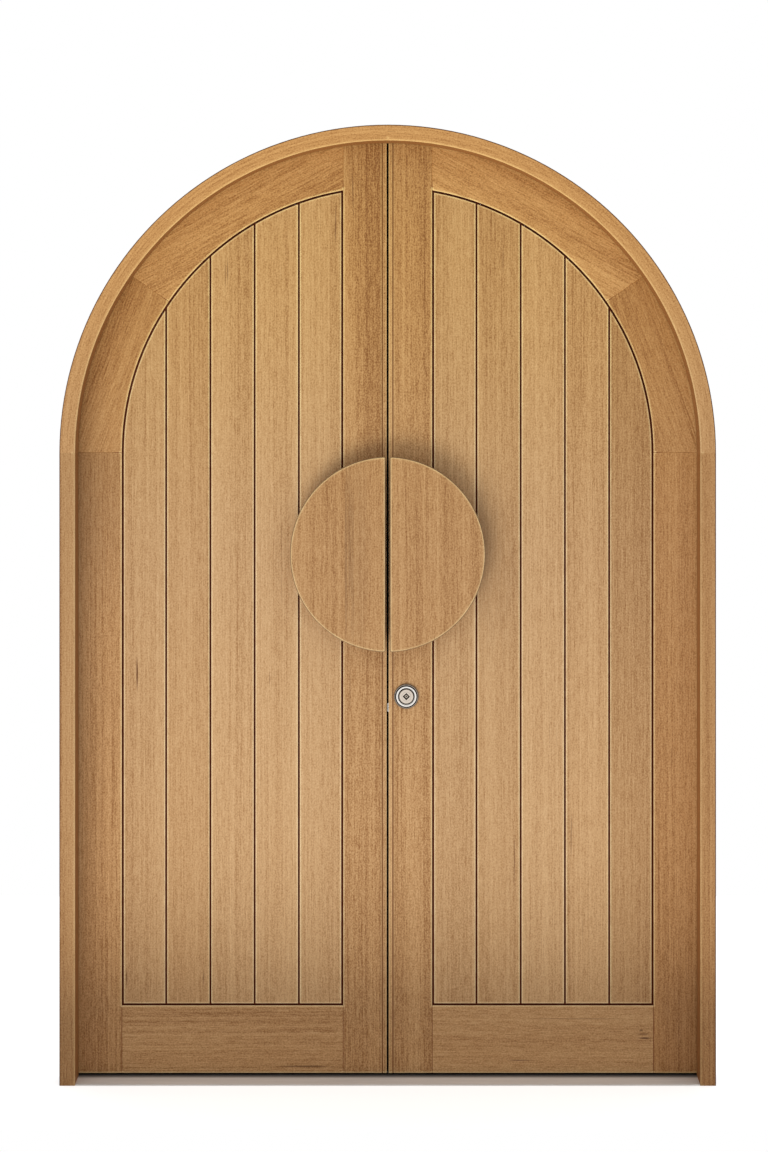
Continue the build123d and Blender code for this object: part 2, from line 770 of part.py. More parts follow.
# Half-round pulls, back to back, on turned posts that pass through the meeting stile
for side, hand in sides.items():
    for place, face, outward, front in (("outer", leaf_front, -1, 0), ("inner", leaf_back, 1, -1)):
        back = face + outward * pull_standoff
        with BuildPart() as pull:
            with BuildSketch(facing(back)):
                with Locations((0, pull_height)):
                    Circle(pull_radius)
                upright_strip(hand * pull_parting / 2, hand * pull_radius)
            extrude(amount=-outward * pull_thickness)
            fillet(pull.edges().filter_by(Axis.Y), pull_corner_radius)
            fillet(pull.faces().sort_by(Axis.Y)[front].edges(), pull_front_round)
            fillet(pull.faces().sort_by(Axis.Y)[-1 - front].edges(), pull_back_round)
            with Locations(*along_y([(hand * post_x, back, z) for z in post_heights], outward)):
                Cylinder(stud_radius + post_slip, stud_depth + post_slip, align=BASE, mode=Mode.SUBTRACT)
        save(pull, f"{side}_{place}_pull")

    with BuildPart() as pull_posts:
        with Locations(*along_y([(hand * post_x, leaf_front, z) for z in post_heights], -1)):
            Cylinder(post_radius, pull_standoff, align=BASE)
            Cylinder(stud_radius, pull_standoff + stud_depth, align=BASE)
        with Locations(*along_y([(hand * post_x, leaf_back, z) for z in post_heights], 1)):
            Cylinder(post_radius, pull_standoff, align=BASE)
            Cylinder(stud_radius, pull_standoff + stud_depth, align=BASE)
            Cylinder(stud_radius + post_slip, post_socket + post_slip, align=BASE, mode=Mode.SUBTRACT)
        with Locations(*along_y([(hand * post_x, leaf_front, z) for z in post_heights], 1)):
            Cylinder(stud_radius, leaf_thickness + post_socket, align=BASE)
    save(pull_posts, f"{side}_pull_posts")

# Seals in the meeting edges; the left one is parted where the lock's bolt passes
meeting_seal_y = leaf_back - meeting_seal_setback
seal_tip = meeting_seal_slit / 2
seal_root = leaf_edge + meeting_seal_kerf
seal_height = spring_height + sqrt(leaf_radius**2 - seal_root**2) - leaf_bottom
for side, hand in sides.items():
    with BuildPart() as meeting_seal:
        with Locations((hand * (seal_tip + seal_root) / 2, meeting_seal_y, leaf_bottom)):
            Box(seal_root - seal_tip, meeting_seal_thickness, seal_height, align=BASE)
        if side == "left":
            with Locations((hand * leaf_edge, meeting_seal_y, bolt_z)):
                Box(
                    2 * (meeting_seal_kerf + overrun),
                    meeting_seal_thickness + overrun,
                    bolt_height + 2 * meeting_seal_notch_margin,
                    mode=Mode.SUBTRACT,
                )
    save(meeting_seal, f"{side}_meeting_seal")

# Strike plate on the left leaf
with BuildPart() as strike_plate:
    edge_plate(-1, strike_thickness, strike_width, strike_height, bolt_z)
    edge_plate(-1, strike_thickness, bolt_thickness, bolt_height, bolt_z, strike_slack, Mode.SUBTRACT)
    screws(edge_screw_planes(-1, strike_screw_heights), screw_slip, Mode.SUBTRACT)
save(strike_plate, "strike_plate")

# Sliding bolts that hold the left leaf, drawn back at rest
for name, (up, tip, throw) in slides.items():
    thumb_mid = slide_mid(name) - up * throw / 2
    with BuildPart() as housing:
        slide_housing(name)
        with Locations((-rod_x, leaf_mid, slide_mid(name))):
            Cylinder(rod_radius + rod_clearance, slide_body_height + overrun, mode=Mode.SUBTRACT)
        with Locations((-leaf_edge - rod_backset / 2, leaf_mid, slide_mid(name))):
            Box(
                rod_backset,
                slide_thumb_width + 2 * slide_slot_slip,
                slide_thumb_height + throw + 2 * slide_slot_slip,
                mode=Mode.SUBTRACT,
            )
        screws(slide_screw_planes(name), screw_slip, Mode.SUBTRACT, slide_screw_length)
    save(housing, f"{name}_slide_housing")

    with BuildPart() as sliding_bolt:
        rod_length = slide_offset + rod_tail
        with Locations((-rod_x, leaf_mid, tip - up * rod_length / 2)):
            Cylinder(rod_radius, rod_length)
        with Locations((-leaf_edge - (rod_backset + slide_thumb_recess) / 2, leaf_mid, thumb_mid)):
            Box(rod_backset - slide_thumb_recess, slide_thumb_width, slide_thumb_height)
    save(sliding_bolt, f"{name}_sliding_bolt")

with BuildPart() as left_edge_screws:
    screws(edge_screw_planes(-1, strike_screw_heights))
    for name in slides:
        screws(slide_screw_planes(name), length=slide_screw_length)
save(left_edge_screws, "left_edge_screws")

# Lock in the right leaf
with BuildPart() as lock_forend:
    edge_plate(1, forend_thickness, forend_width, forend_height, housing_z)
    edge_plate(1, forend_thickness, bolt_thickness, bolt_height, bolt_z, bolt_slip, Mode.SUBTRACT)
    screws(edge_screw_planes(1, forend_screw_heights), screw_slip, Mode.SUBTRACT)
save(lock_forend, "lock_forend")

with BuildPart() as forend_screws:
    screws(edge_screw_planes(1, forend_screw_heights))
save(forend_screws, "forend_screws")

with BuildPart() as lock_housing:
    with Locations((housing_x, leaf_mid, housing_z)):
        Box(housing_depth, housing_thickness, housing_height)
        Box(
            housing_depth - 2 * housing_wall,
            housing_thickness - 2 * housing_wall,
            housing_height - 2 * housing_wall,
            mode=Mode.SUBTRACT,
        )
    with Locations((housing_x - housing_depth / 2, leaf_mid, bolt_z)):
        Box(
            2 * (housing_wall + overrun),
            bolt_thickness + 2 * bolt_slip,
            bolt_height + 2 * bolt_slip,
            mode=Mode.SUBTRACT,
        )
    with Locations(*along_y([(lock_x, leaf_front, lock_height)], 1)):
        Cylinder(cylinder_radius + cylinder_slip, leaf_thickness, align=BASE, mode=Mode.SUBTRACT)
save(lock_housing, "lock_housing")

with BuildPart() as lock_cylinder:
    with Locations(*along_y([(lock_x, leaf_front - cylinder_proud, lock_height)], 1)):
        Cylinder(cylinder_radius, cylinder_length, align=BASE)
        Cylinder(plug_radius + plug_clearance, cylinder_length, align=BASE, mode=Mode.SUBTRACT)
    with Locations((lock_x, leaf_mid, lock_height - cylinder_bridge_drop - cylinder_radius)):
        Box(2 * (cylinder_radius + overrun), window_width, 2 * cylinder_radius, mode=Mode.SUBTRACT)
save(lock_cylinder, "lock_cylinder")

with BuildPart() as key_plug:
    with Locations(*along_y([(lock_x, leaf_front - cylinder_proud, lock_height)], 1)):
        Cylinder(plug_radius, window_front - leaf_front + cylinder_proud, align=BASE)
        Cylinder(shaft_radius, window_back - leaf_front + cylinder_proud + shaft_socket, align=BASE)
        Cylinder(key_hole_radius, key_hole_depth, align=BASE, mode=Mode.SUBTRACT)
    with BuildSketch(facing(leaf_front - cylinder_proud)):
        with Locations((lock_x, lock_height)):
            key_recess_side = key_recess_diagonal / sqrt(2)
            Rectangle(key_recess_side, key_recess_side, rotation=45)
    extrude(amount=-key_recess_depth, mode=Mode.SUBTRACT)
save(key_plug, "key_plug")

with BuildPart() as lock_cam:
    half_turn = lock_turn_angle / 2
    tip_across = cam_reach * sin(radians(half_turn))
    tip_drop = cam_reach * cos(radians(half_turn))
    with BuildSketch(facing(leaf_mid + cam_thickness / 2)):
        with Locations((lock_x, lock_height)):
            Circle(cam_hub_radius)
            Rectangle(finger_neck, cam_reach, rotation=half_turn, align=(Align.CENTER, Align.MAX))
            Circle(shaft_radius + shaft_slip, mode=Mode.SUBTRACT)
        with Locations((lock_x + tip_across, lock_height - tip_drop)):
            Circle(finger_width / 2)
    extrude(amount=cam_thickness)
save(lock_cam, "lock_cam")

with BuildPart() as thumb_turn:
    wing_back = leaf_back + rose_ring_height + thumb_gap
    with Locations(*along_y([(lock_x, window_back, lock_height)], 1)):
        Cylinder(plug_radius, wing_back - window_back, align=BASE)
    with Locations((lock_x, wing_back + thumb_reach / 2, lock_height)):
        Box(thumb_thickness, thumb_reach, thumb_height)
    fillet(thumb_turn.faces().sort_by(Axis.Y)[-1].edges(), thumb_round)
    with Locations(*along_y([(lock_x, window_back, lock_height)], 1)):
        Cylinder(shaft_radius + shaft_slip, shaft_socket + shaft_slip, align=BASE, mode=Mode.SUBTRACT)
save(thumb_turn, "thumb_turn")

for place, face, outward in (("outer", leaf_front, -1), ("inner", leaf_back, 1)):
    with BuildPart() as lock_rose:
        rose(face, outward)
        ring_top = lock_rose.faces().filter_by(GeomType.PLANE).sort_by(Axis.Y)[-1 if outward > 0 else 0]
        fillet(ring_top.edges(), rose_ring_round)
        rims = lock_rose.edges().filter_by(GeomType.CIRCLE).sort_by(SortBy.RADIUS)[-2:]
        fillet(rims.sort_by(Axis.Y)[-1 if outward > 0 else 0], rose_flange_round)
    save(lock_rose, f"{place}_rose")

with BuildPart() as deadbolt:
    bolt_front = leaf_edge - bolt_nose
    with Locations((bolt_front + bolt_length / 2, leaf_mid, bolt_z)):
        Box(bolt_length, bolt_thickness, bolt_height)
    fillet(deadbolt.edges().filter_by(Axis.Y).group_by(Axis.X)[0], bolt_nose_round)
    with Locations((lug_x, leaf_mid, bolt_z)):
        Box(lug_width, bolt_thickness, lug_top - bolt_z, align=BASE)
    with Locations((lug_x, leaf_mid, lug_slot_bottom)):
        Box(
            finger_width + 2 * finger_slack,
            bolt_thickness,
            lug_top - lug_slot_bottom + overrun,
            align=BASE,
            mode=Mode.SUBTRACT,
        )
save(deadbolt, "deadbolt")
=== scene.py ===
import logging
import math
from dataclasses import dataclass, field
from enum import Enum
from typing import Iterable, Sequence, Union

import bmesh
import bpy
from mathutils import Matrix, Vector


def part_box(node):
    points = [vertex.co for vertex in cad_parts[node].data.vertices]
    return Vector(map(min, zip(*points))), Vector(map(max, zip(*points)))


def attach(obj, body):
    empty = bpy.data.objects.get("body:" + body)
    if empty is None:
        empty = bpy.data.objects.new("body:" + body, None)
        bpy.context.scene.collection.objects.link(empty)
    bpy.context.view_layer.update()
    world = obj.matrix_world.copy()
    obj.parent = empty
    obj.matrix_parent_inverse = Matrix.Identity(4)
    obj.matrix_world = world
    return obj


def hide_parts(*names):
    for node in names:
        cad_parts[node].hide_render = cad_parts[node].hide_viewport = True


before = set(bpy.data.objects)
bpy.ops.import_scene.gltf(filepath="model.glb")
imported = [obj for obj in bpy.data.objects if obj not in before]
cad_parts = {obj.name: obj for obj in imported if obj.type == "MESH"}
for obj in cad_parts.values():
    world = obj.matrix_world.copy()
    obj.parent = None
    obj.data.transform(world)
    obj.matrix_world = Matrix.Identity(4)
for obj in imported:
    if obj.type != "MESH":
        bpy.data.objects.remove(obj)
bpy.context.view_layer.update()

log = logging.getLogger("arched_door")

Colour = tuple[float, float, float, float]
Socket = bpy.types.NodeSocket
Value = Union[Socket, float, Sequence[float]]
Place = tuple[float, float, float]
Scale = tuple[float, float, float]
Span = tuple[float, float]
Rings = Sequence[tuple[float, Colour]]

SIDES = {"left": -1, "right": 1}
WHITE: Colour = (1.0, 1.0, 1.0, 1.0)
# Where most noise values lie, and their mean.
MIDDLE_NOISE = (0.3, 0.7)
MEAN_NOISE = 0.5
# Steps and turns that shift the grain from piece to piece, along, across and through the fibres.
SEED_STEPS = ((3.71, 17), (1.93, 11), (0.77, 5))


def paint(red: int, green: int, blue: int) -> Colour:
    """Turn a screen colour into the linear colour that shaders use.

    Args:
        red: Red from 0 to 255.
        green: Green from 0 to 255.
        blue: Blue from 0 to 255.

    Returns:
        The linear colour with full alpha.
    """
    parts = [value / 255 for value in (red, green, blue)]
    linear = [p / 12.92 if p <= 0.04045 else ((p + 0.055) / 1.055) ** 2.4 for p in parts]
    return (linear[0], linear[1], linear[2], 1.0)


class Grain(Enum):
    """Which way the fibres of a timber piece run."""

    UPRIGHT = "up the piece"
    LEVEL = "across the leaf"
    SLOPING = "along the chord of a curved rail"
    ARCHED = "round the arch"


class Coat(Enum):
    """Where a timber piece is darkened: a stain on the sides that face the wall, and painted shade on the
    reveal, in the grooves, in the quirk and round a pull's rim.
    """

    NONE = "nowhere"
    # On the reveal the darker colour is painted shade.
    WALL_SIDE = "on the sides that face the wall, and thinly on the reveal"
    # On these sides and in the quirk the dark colour is painted shade.
    PANEL_SIDE = "on the narrow sides that face the boards, and in the quirk"
    # In the grooves the dark colour is painted shade.
    GROOVES = "on the narrow sides of a board and the floor of its grooves"
    # Round a pull's rim the dark colour is painted shade.
    RIM = "round the rim of a pull"


class Nodes:
    """A node tree, with short ways to add and join nodes."""

    def __init__(self, tree: bpy.types.NodeTree) -> None:
        """Take the tree to work on."""
        self.tree = tree

    def feed(self, target: Socket, source: Value) -> None:
        """Join a source to a socket, or set the socket's own value.

        Args:
            target: The input socket.
            source: Another node's output, or a fixed value.
        """
        if isinstance(source, bpy.types.NodeSocket):
            self.tree.links.new(source, target)
        else:
            target.default_value = source

    def fill(self, node: bpy.types.Node, *values: Value) -> None:
        """Feed the first inputs of a node in order."""
        for target, value in zip(node.inputs, values):
            self.feed(target, value)

    def add(self, kind: str, *values: Value, **settings: "str | int") -> bpy.types.Node:
        """Add a node.

        Args:
            kind: The node's kind.
            values: Its first inputs in order.
            settings: Its settings by their names.

        Returns:
            The node.
        """
        node = self.tree.nodes.new(kind)
        for name, setting in settings.items():
            setattr(node, name, setting)
        self.fill(node, *values)
        return node

    def calc(self, operation: str, *values: Value) -> Socket:
        """Work out one number from some others."""
        return self.add("ShaderNodeMath", *values, operation=operation).outputs[0]

    def split_sight(self, lit: bpy.types.Node, seen: bpy.types.Node, output: str) -> None:
        """Let the camera look at another surface than the one that lights the object.

        Args:
            lit: The surface that lights the object.
            seen: The surface for rays from the camera, off gloss and through glass.
            output: The name of the tree's output node.
        """
        path = self.add("ShaderNodeLightPath").outputs
        share = path["Is Camera Ray"]
        for ray in ("Is Glossy Ray", "Is Transmission Ray"):
            share = self.calc("MAXIMUM", share, path[ray])
        mix = self.add("ShaderNodeMixShader", share, lit.outputs[0], seen.outputs[0])
        self.feed(self.tree.nodes[output].inputs["Surface"], mix.outputs[0])


class Shader(Nodes):
    """The nodes of one material.

    Attributes:
        BEVEL_SAMPLES: Looks round a place for edges.
        EDGE_TURNS: Cosines between the flat and the rounded surface away from an edge and on it.
        MIX_COLOURS: Numbers of the colour inputs of a mix node.
        MIX_RESULT: Number of its colour output.
    """

    BEVEL_SAMPLES = 4
    EDGE_TURNS = (0.998, 0.97)
    MIX_COLOURS = (6, 7)
    MIX_RESULT = 2

    def __init__(self, name: str) -> None:
        """Start a material with one surface shader.

        Args:
            name: The material's name.
        """
        self.material = bpy.data.materials.new(name)
        self.material.use_nodes = True
        super().__init__(self.material.node_tree)
        self.surface = self.tree.nodes["Principled BSDF"]
        where = self.add("ShaderNodeTexCoord")
        self.place = where.outputs["Object"]
        self.normal = where.outputs["Normal"]

    def put(self, name: str, source: Value) -> None:
        """Feed one of the surface's inputs."""
        self.feed(self.surface.inputs[name], source)

    def product(self, first: Socket, *others: Value) -> Socket:
        """Multiply some numbers.

        Args:
            first: The first number.
            others: The numbers that it is multiplied by.

        Returns:
            The product's socket.
        """
        for other in others:
            first = self.calc("MULTIPLY", first, other)
        return first

    def mixed(self, share: float, low: Socket, high: Socket) -> Socket:
        """Mix two numbers, with a share of the second one."""
        return self.calc("MULTIPLY_ADD", high, share, self.product(low, 1.0 - share))

    def vector(self, operation: str, *values: Value) -> Socket:
        """Work out one vector from some others."""
        return self.add("ShaderNodeVectorMath", *values, operation=operation).outputs["Vector"]

    def dot(self, first: Socket, second: Value) -> Socket:
        """Multiply two vectors to one number."""
        return self.add("ShaderNodeVectorMath", first, second, operation="DOT_PRODUCT").outputs["Value"]

    def length(self, vector: Socket) -> Socket:
        """Measure a vector."""
        return self.add("ShaderNodeVectorMath", vector, operation="LENGTH").outputs["Value"]

    def parts(self, vector: Socket) -> tuple[Socket, ...]:
        """Split a vector into its X, Y and Z."""
        return tuple(self.add("ShaderNodeSeparateXYZ", vector).outputs)

    def joined(self, x: Value, y: Value, z: Value) -> Socket:
        """Join three numbers to a vector."""
        return self.add("ShaderNodeCombineXYZ", x, y, z).outputs[0]

    def span(
        self, value: Socket, low: float, high: float, to_low: float = 0.0, to_high: float = 1.0
    ) -> Socket:
        """Map a range of values smoothly on another one and stop at its ends.

        Args:
            value: The value.
            low: Where the range begins.
            high: Where the range ends.
            to_low: The result at the beginning.
            to_high: The result at the end.

        Returns:
            The result's socket.
        """
        limits = (low, high, to_low, to_high)
        node = self.add("ShaderNodeMapRange", value, *limits, interpolation_type="SMOOTHSTEP")
        return node.outputs["Result"]

    def blend(self, share: Socket, low: Value, high: Value) -> Socket:
        """Mix two colours.

        Args:
            share: How much of the second colour shows.
            low: The first colour.
            high: The second colour.

        Returns:
            The mixed colour's socket.
        """
        node = self.add("ShaderNodeMix", share, data_type="RGBA")
        for number, colour in zip(self.MIX_COLOURS, (low, high)):
            self.feed(node.inputs[number], colour)
        return node.outputs[self.MIX_RESULT]

    def ramp(self, value: Socket, stops: Iterable[tuple[float, Colour]], stepped: bool = False) -> Socket:
        """Look a value up on a scale of colours.

        Args:
            value: The value from 0 to 1.
            stops: Places on the scale with their colours, from low to high.
            stepped: Whether each colour holds until the next one.

        Returns:
            The colour's socket.
        """
        node = self.add("ShaderNodeValToRGB", value)
        node.color_ramp.interpolation = "CONSTANT" if stepped else "LINEAR"
        elements = node.color_ramp.elements
        for index, (place, colour) in enumerate(stops):
            element = elements[index] if index < len(elements) else elements.new(place)
            element.position = place
            element.color = colour
        return node.outputs["Color"]

    def gloss(self, pattern: Socket, gloss: Span) -> None:
        """Set the roughness where a pattern is low and where it is high."""
        self.put("Roughness", self.span(pattern, *MIDDLE_NOISE, *gloss))

    def bump(self, height: Socket, strength: float, distance: float) -> None:
        """Raise the surface by a height value.

        Args:
            height: The height from 0 to 1.
            strength: How strongly it shows.
            distance: The real height of a full step, in metres.
        """
        node = self.add("ShaderNodeBump", strength, distance)
        self.feed(node.inputs["Height"], height)
        self.put("Normal", node.outputs["Normal"])

    def near_edge(self, reach: float) -> Socket:
        """Tell how near a place is to an edge of its piece.

        Args:
            reach: How far from an edge it still counts, in metres.

        Returns:
            A socket that is 0 away from edges and 1 on them.
        """
        rounded = self.add("ShaderNodeBevel", reach, samples=self.BEVEL_SAMPLES).outputs["Normal"]
        flat = self.add("ShaderNodeNewGeometry").outputs["Normal"]
        return self.span(self.dot(rounded, flat), *self.EDGE_TURNS)


@dataclass(frozen=True)
class Layer:
    """One layer of noise in a finish.

    Attributes:
        scale: How many features fit in a metre along the three axes, in timber those of the fibres.
        share: How strongly the layer shows.
        detail: How many finer layers are added.
        rough: How strong the finer layers are.
        shown: Noise values where patches begin to show and where they show fully.
    """

    scale: Scale
    share: float = 1.0
    detail: float = 1.0
    rough: float = 0.5
    shown: Span = (0.0, 1.0)

    def noise(self, shader: Shader, place: Socket) -> Socket:
        """Give the layer's noise at a place.

        Args:
            shader: The material that has the layer.
            place: The place along the layer's axes.

        Returns:
            The noise value's socket, from 0 to 1.
        """
        node = shader.add("ShaderNodeTexNoise", shader.vector("MULTIPLY", place, self.scale))
        for name, value in (("Scale", 1.0), ("Detail", self.detail), ("Roughness", self.rough)):
            node.inputs[name].default_value = value
        return node.outputs["Fac"]

    def patches(self, shader: Shader, place: Socket, least: float = 0.0) -> Socket:
        """Give patches of the layer at a place, nowhere fainter than the least."""
        return shader.span(self.noise(shader, place), *self.shown, least)


class Brush(Enum):
    """Which way brush lines run, as the lines in a metre along X, Y and Z."""

    UPRIGHT = (1400.0, 1400.0, 25.0)
    SHORT_UPRIGHT = (1500.0, 1500.0, 60.0)
    ACROSS = (40.0, 1400.0, 1400.0)
    THROUGH = (1400.0, 60.0, 1400.0)
    ROUND = (90.0, 90.0, 1400.0)

    def lines(self) -> Layer:
        """Give the lines as a layer."""
        return Layer(self.value, detail=2.0, rough=0.6)


@dataclass(frozen=True)
class Step:
    """A smooth step from no share to a full one.

    Attributes:
        begins: Value where the share begins.
        full: Value where it is full.
        share: The full share.
    """

    begins: float
    full: float
    share: float = 1.0

    def at(self, shader: Shader, value: Socket, edge: float = 0.0) -> Socket:
        """Give the share at a value, where the step is measured from an edge."""
        return shader.span(value, edge + self.begins, edge + self.full, 0.0, self.share)


@dataclass(frozen=True)
class DoorLines:
    """Lines of the door that the timber finishes follow, in metres.

    Attributes:
        spring: Height where the straight sides end.
        head_radius: Radius at which the fibres of the heads are laid out.
        reveal_radius: Radius of the reveal inside the frame.
        panel_radius: Radius of the border round the boards.
        panel_foot: Height of the border under the boards.
        leaf_foot: Height of the bottom edge of the leaves.
        leaf_front: Depth of the outer face of the leaves.
        leaf_middle: Depth midway through the leaves.
        quirk: Where the quirk beside the meeting gap begins and ends, from the middle.
    """

    spring: float
    head_radius: float
    reveal_radius: float
    panel_radius: float
    panel_foot: float
    leaf_foot: float
    leaf_front: float
    leaf_middle: float
    quirk: Span = (0.0112, 0.0153)

    @classmethod
    def measured(cls) -> "DoorLines":
        """Read the lines off the solids.

        Returns:
            The lines.
        """
        head_low, head_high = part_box("left_head")
        stile_low, stile_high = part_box("right_hinge_stile")
        rail_low, rail_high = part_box("right_bottom_rail")
        return cls(
            spring=head_low.z,
            head_radius=head_high.z - head_low.z,
            reveal_radius=-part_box("left_jamb")[1].x,
            panel_radius=stile_low.x,
            panel_foot=rail_high.z,
            leaf_foot=rail_low.z,
            leaf_front=stile_low.y,
            leaf_middle=(stile_low.y + stile_high.y) / 2,
        )


@dataclass(frozen=True)
class Stain:
    """How one timber piece takes the oil beside its neighbours.

    Attributes:
        gain: Brightness of the piece.
        depth: Depth of its colour, where more than 1 is darker and warmer.
        contrast: Strength of its grain.
    """

    gain: float = 1.0
    depth: float = 1.0
    contrast: float = 1.0

    def on(self, colour: Colour) -> Colour:
        """Give a colour of the bare timber under this stain."""
        red, green, blue = (self.gain * part**self.depth for part in colour[:3])
        return (red, green, blue, 1.0)


@dataclass(frozen=True)
class Mark:
    """A dark patch in the resin's colour on one timber piece: a resin streak, a broad darker patch, or
    painted shade.

    Attributes:
        x, z: Place across the door and height, in metres.
        half_width, half_height: Half its size across and up, in metres.
        strength: How dark it is, from 0 to 1.
    """

    x: float
    z: float
    half_width: float
    half_height: float
    strength: float


@dataclass(frozen=True)
class Timber:
    """Oiled softwood with fine straight grain. Lengths are in metres.

    Attributes:
        light, middle, dark: Colours of the early wood, between the growth lines and on them.
        tone_stops: Grain values of the dark, the middle and the light colour.
        pale: Colour of the eased edges, partly wear and partly painted highlight.
        resin: Colour of resin streaks and of the other dark marks.
        groove_shade: Colour of the painted shade in the grooves.
        wall_stain_and_rim_shade: Colour of the stain on the sides that face the wall, and of the painted
            shade round the rims of the pulls.
        reveal: Colour of the painted shade on the reveal.
        quirk: Colour of the painted shade in the quirk beside the meeting gap.
        wander: Slow wander of the fibres to the side.
        drift: Broad drift of the tone across a piece.
        lines, dashes, flecks: Growth lines, short fibres and fine flecks.
        hairs, hair_patches: Dark hairlines, and where they show.
        hair_width: How far from its middle a hairline reaches, as a noise value.
        streaks, streak_patches: Faint resin streaks, and where they show.
        ragged, mark_edge: Ragged outline of the marks, and their edge in their own sizes.
        gloss: Roughness between the short fibres and on them.
        relief: Strength of the grain's relief, and its height.
        bottom_shade_heights: Heights where the painted shade at the bottom is darkest and where it has faded
            out.
        bottom_shade_depth: How much deeper the painted shade makes the colour at the darkest place.
        top_light_heights: Heights between which painted light warms the colour under the arch.
        top_light_gains: How much brighter the painted light makes red, green and blue at the top.
        top_light_depth: How much deeper the colour is at the top.
        arris: Where a pale arris begins and ends, by how squarely it faces out or in.
            wear_and_highlight_patches, least_wear_and_highlight: How evenly wear and painted highlight pale
            the edges, and the least share.
            wear_and_highlight_reach, rim_reach: How far from an edge, and from the rim of a pull, the timber
                is paled.
        reveal_wear_and_highlight: Pale edges of the frame, from the reveal outwards.
            border_wear_and_highlight, panel_foot_wear_and_highlight: Pale edges of a leaf, from the border
            round the boards and its foot.
        leaf_foot_wear_and_highlight: Pale bottom edge of a leaf, from that edge up.
            meeting_wear_and_highlight, off_meeting: Meeting edges and the rest of a leaf, from the middle of
                the door.
        below_face, outer_half: Depth of the painted shade in the grooves, from the face and from the middle
            of a leaf.
        groove_shade_border, groove_shade_aside: Reach of the painted groove shade, from the border and from
            the middle of the door.
        groove_shade_share: How much of the timber the painted groove shade hides.
        quirk_fade, quirk_shade_share: Width over which the quirk's painted shade fades, and its strength.
        backing, reveal_shade_share: Stain on the wall side and painted shade on the reveal, by how much they
            face the wall.
        rim: Painted shade round a pull's rim, by how squarely it faces out or in.
        shine, wall_shine, groove_shade_shine: Reflection in general, on the wall side and in the painted
            shade of the grooves.
    """

    light: Colour = paint(216, 178, 132)
    middle: Colour = paint(197, 156, 110)
    dark: Colour = paint(160, 116, 72)
    tone_stops: Scale = (0.2, 0.5, 0.8)
    pale: Colour = paint(249, 222, 172)
    resin: Colour = paint(98, 56, 26)
    groove_shade: Colour = paint(118, 47, 28)
    wall_stain_and_rim_shade: Colour = paint(86, 46, 23)
    reveal: Colour = paint(140, 89, 43)
    quirk: Colour = paint(134, 66, 14)
    wander: Layer = Layer((1.1, 3.0, 2.0), 0.012)
    drift: Layer = Layer((0.30, 14.0, 9.0), 0.38, detail=2.0)
    lines: Layer = Layer((0.8, 170.0, 60.0), 0.50, detail=3.0, rough=0.6)
    dashes: Layer = Layer((26.0, 300.0, 300.0), 0.40)
    flecks: Layer = Layer((240.0, 300.0, 300.0), 0.68)
    hairs: Layer = Layer((0.35, 55.0, 25.0), 0.10)
    hair_patches: Layer = Layer((1.4, 24.0, 9.0), detail=0.0, shown=(0.45, 0.62))
    hair_width: float = 0.030
    streaks: Layer = Layer((4.0, 130.0, 90.0), 0.45, shown=(0.70, 0.80))
    streak_patches: Layer = Layer((1.6, 9.0, 5.0), detail=0.0, shown=(0.62, 0.70))
    ragged: Layer = Layer((16.0, 420.0, 90.0))
    mark_edge: Step = Step(1.5, 0.7)
    gloss: Span = (0.64, 0.44)
    relief: Span = (0.25, 0.0004)
    bottom_shade_heights: Span = (0.02, 0.60)
    bottom_shade_depth: float = 0.08
    top_light_heights: Span = (1.25, 2.25)
    top_light_gains: Scale = (1.19, 1.26, 1.12)
    top_light_depth: float = 0.24
    arris: tuple[Step, Step] = (Step(0.15, 0.50), Step(0.98, 0.90))
    wear_and_highlight_patches: Layer = Layer((40.0, 40.0, 40.0), detail=2.0, shown=(0.25, 0.70))
    least_wear_and_highlight: float = 0.65
    wear_and_highlight_reach: float = 0.0075
    rim_reach: float = 0.0080
    reveal_wear_and_highlight: Step = Step(0.012, 0.008, 0.4)
    border_wear_and_highlight: Step = Step(0.009, 0.006)
    panel_foot_wear_and_highlight: Step = Step(-0.006, -0.003)
    leaf_foot_wear_and_highlight: Step = Step(0.006, 0.004)
    meeting_wear_and_highlight: Step = Step(0.022, 0.020, 0.45)
    off_meeting: Step = Step(0.020, 0.022)
    below_face: Step = Step(0.0002, 0.0007)
    outer_half: Step = Step(0.006, 0.002)
    groove_shade_border: Step = Step(0.03, 0.01)
    groove_shade_aside: Step = Step(0.03, 0.05)
    groove_shade_share: float = 0.95
    quirk_fade: float = 0.0004
    quirk_shade_share: float = 0.6
    backing: Step = Step(0.05, 0.35, 0.9)
    reveal_shade_share: Step = Step(-0.55, -0.95, 0.85)
    rim: Step = Step(0.985, 0.93, 0.75)
    shine: float = 0.3
    wall_shine: float = 0.1
    groove_shade_shine: float = 0.03


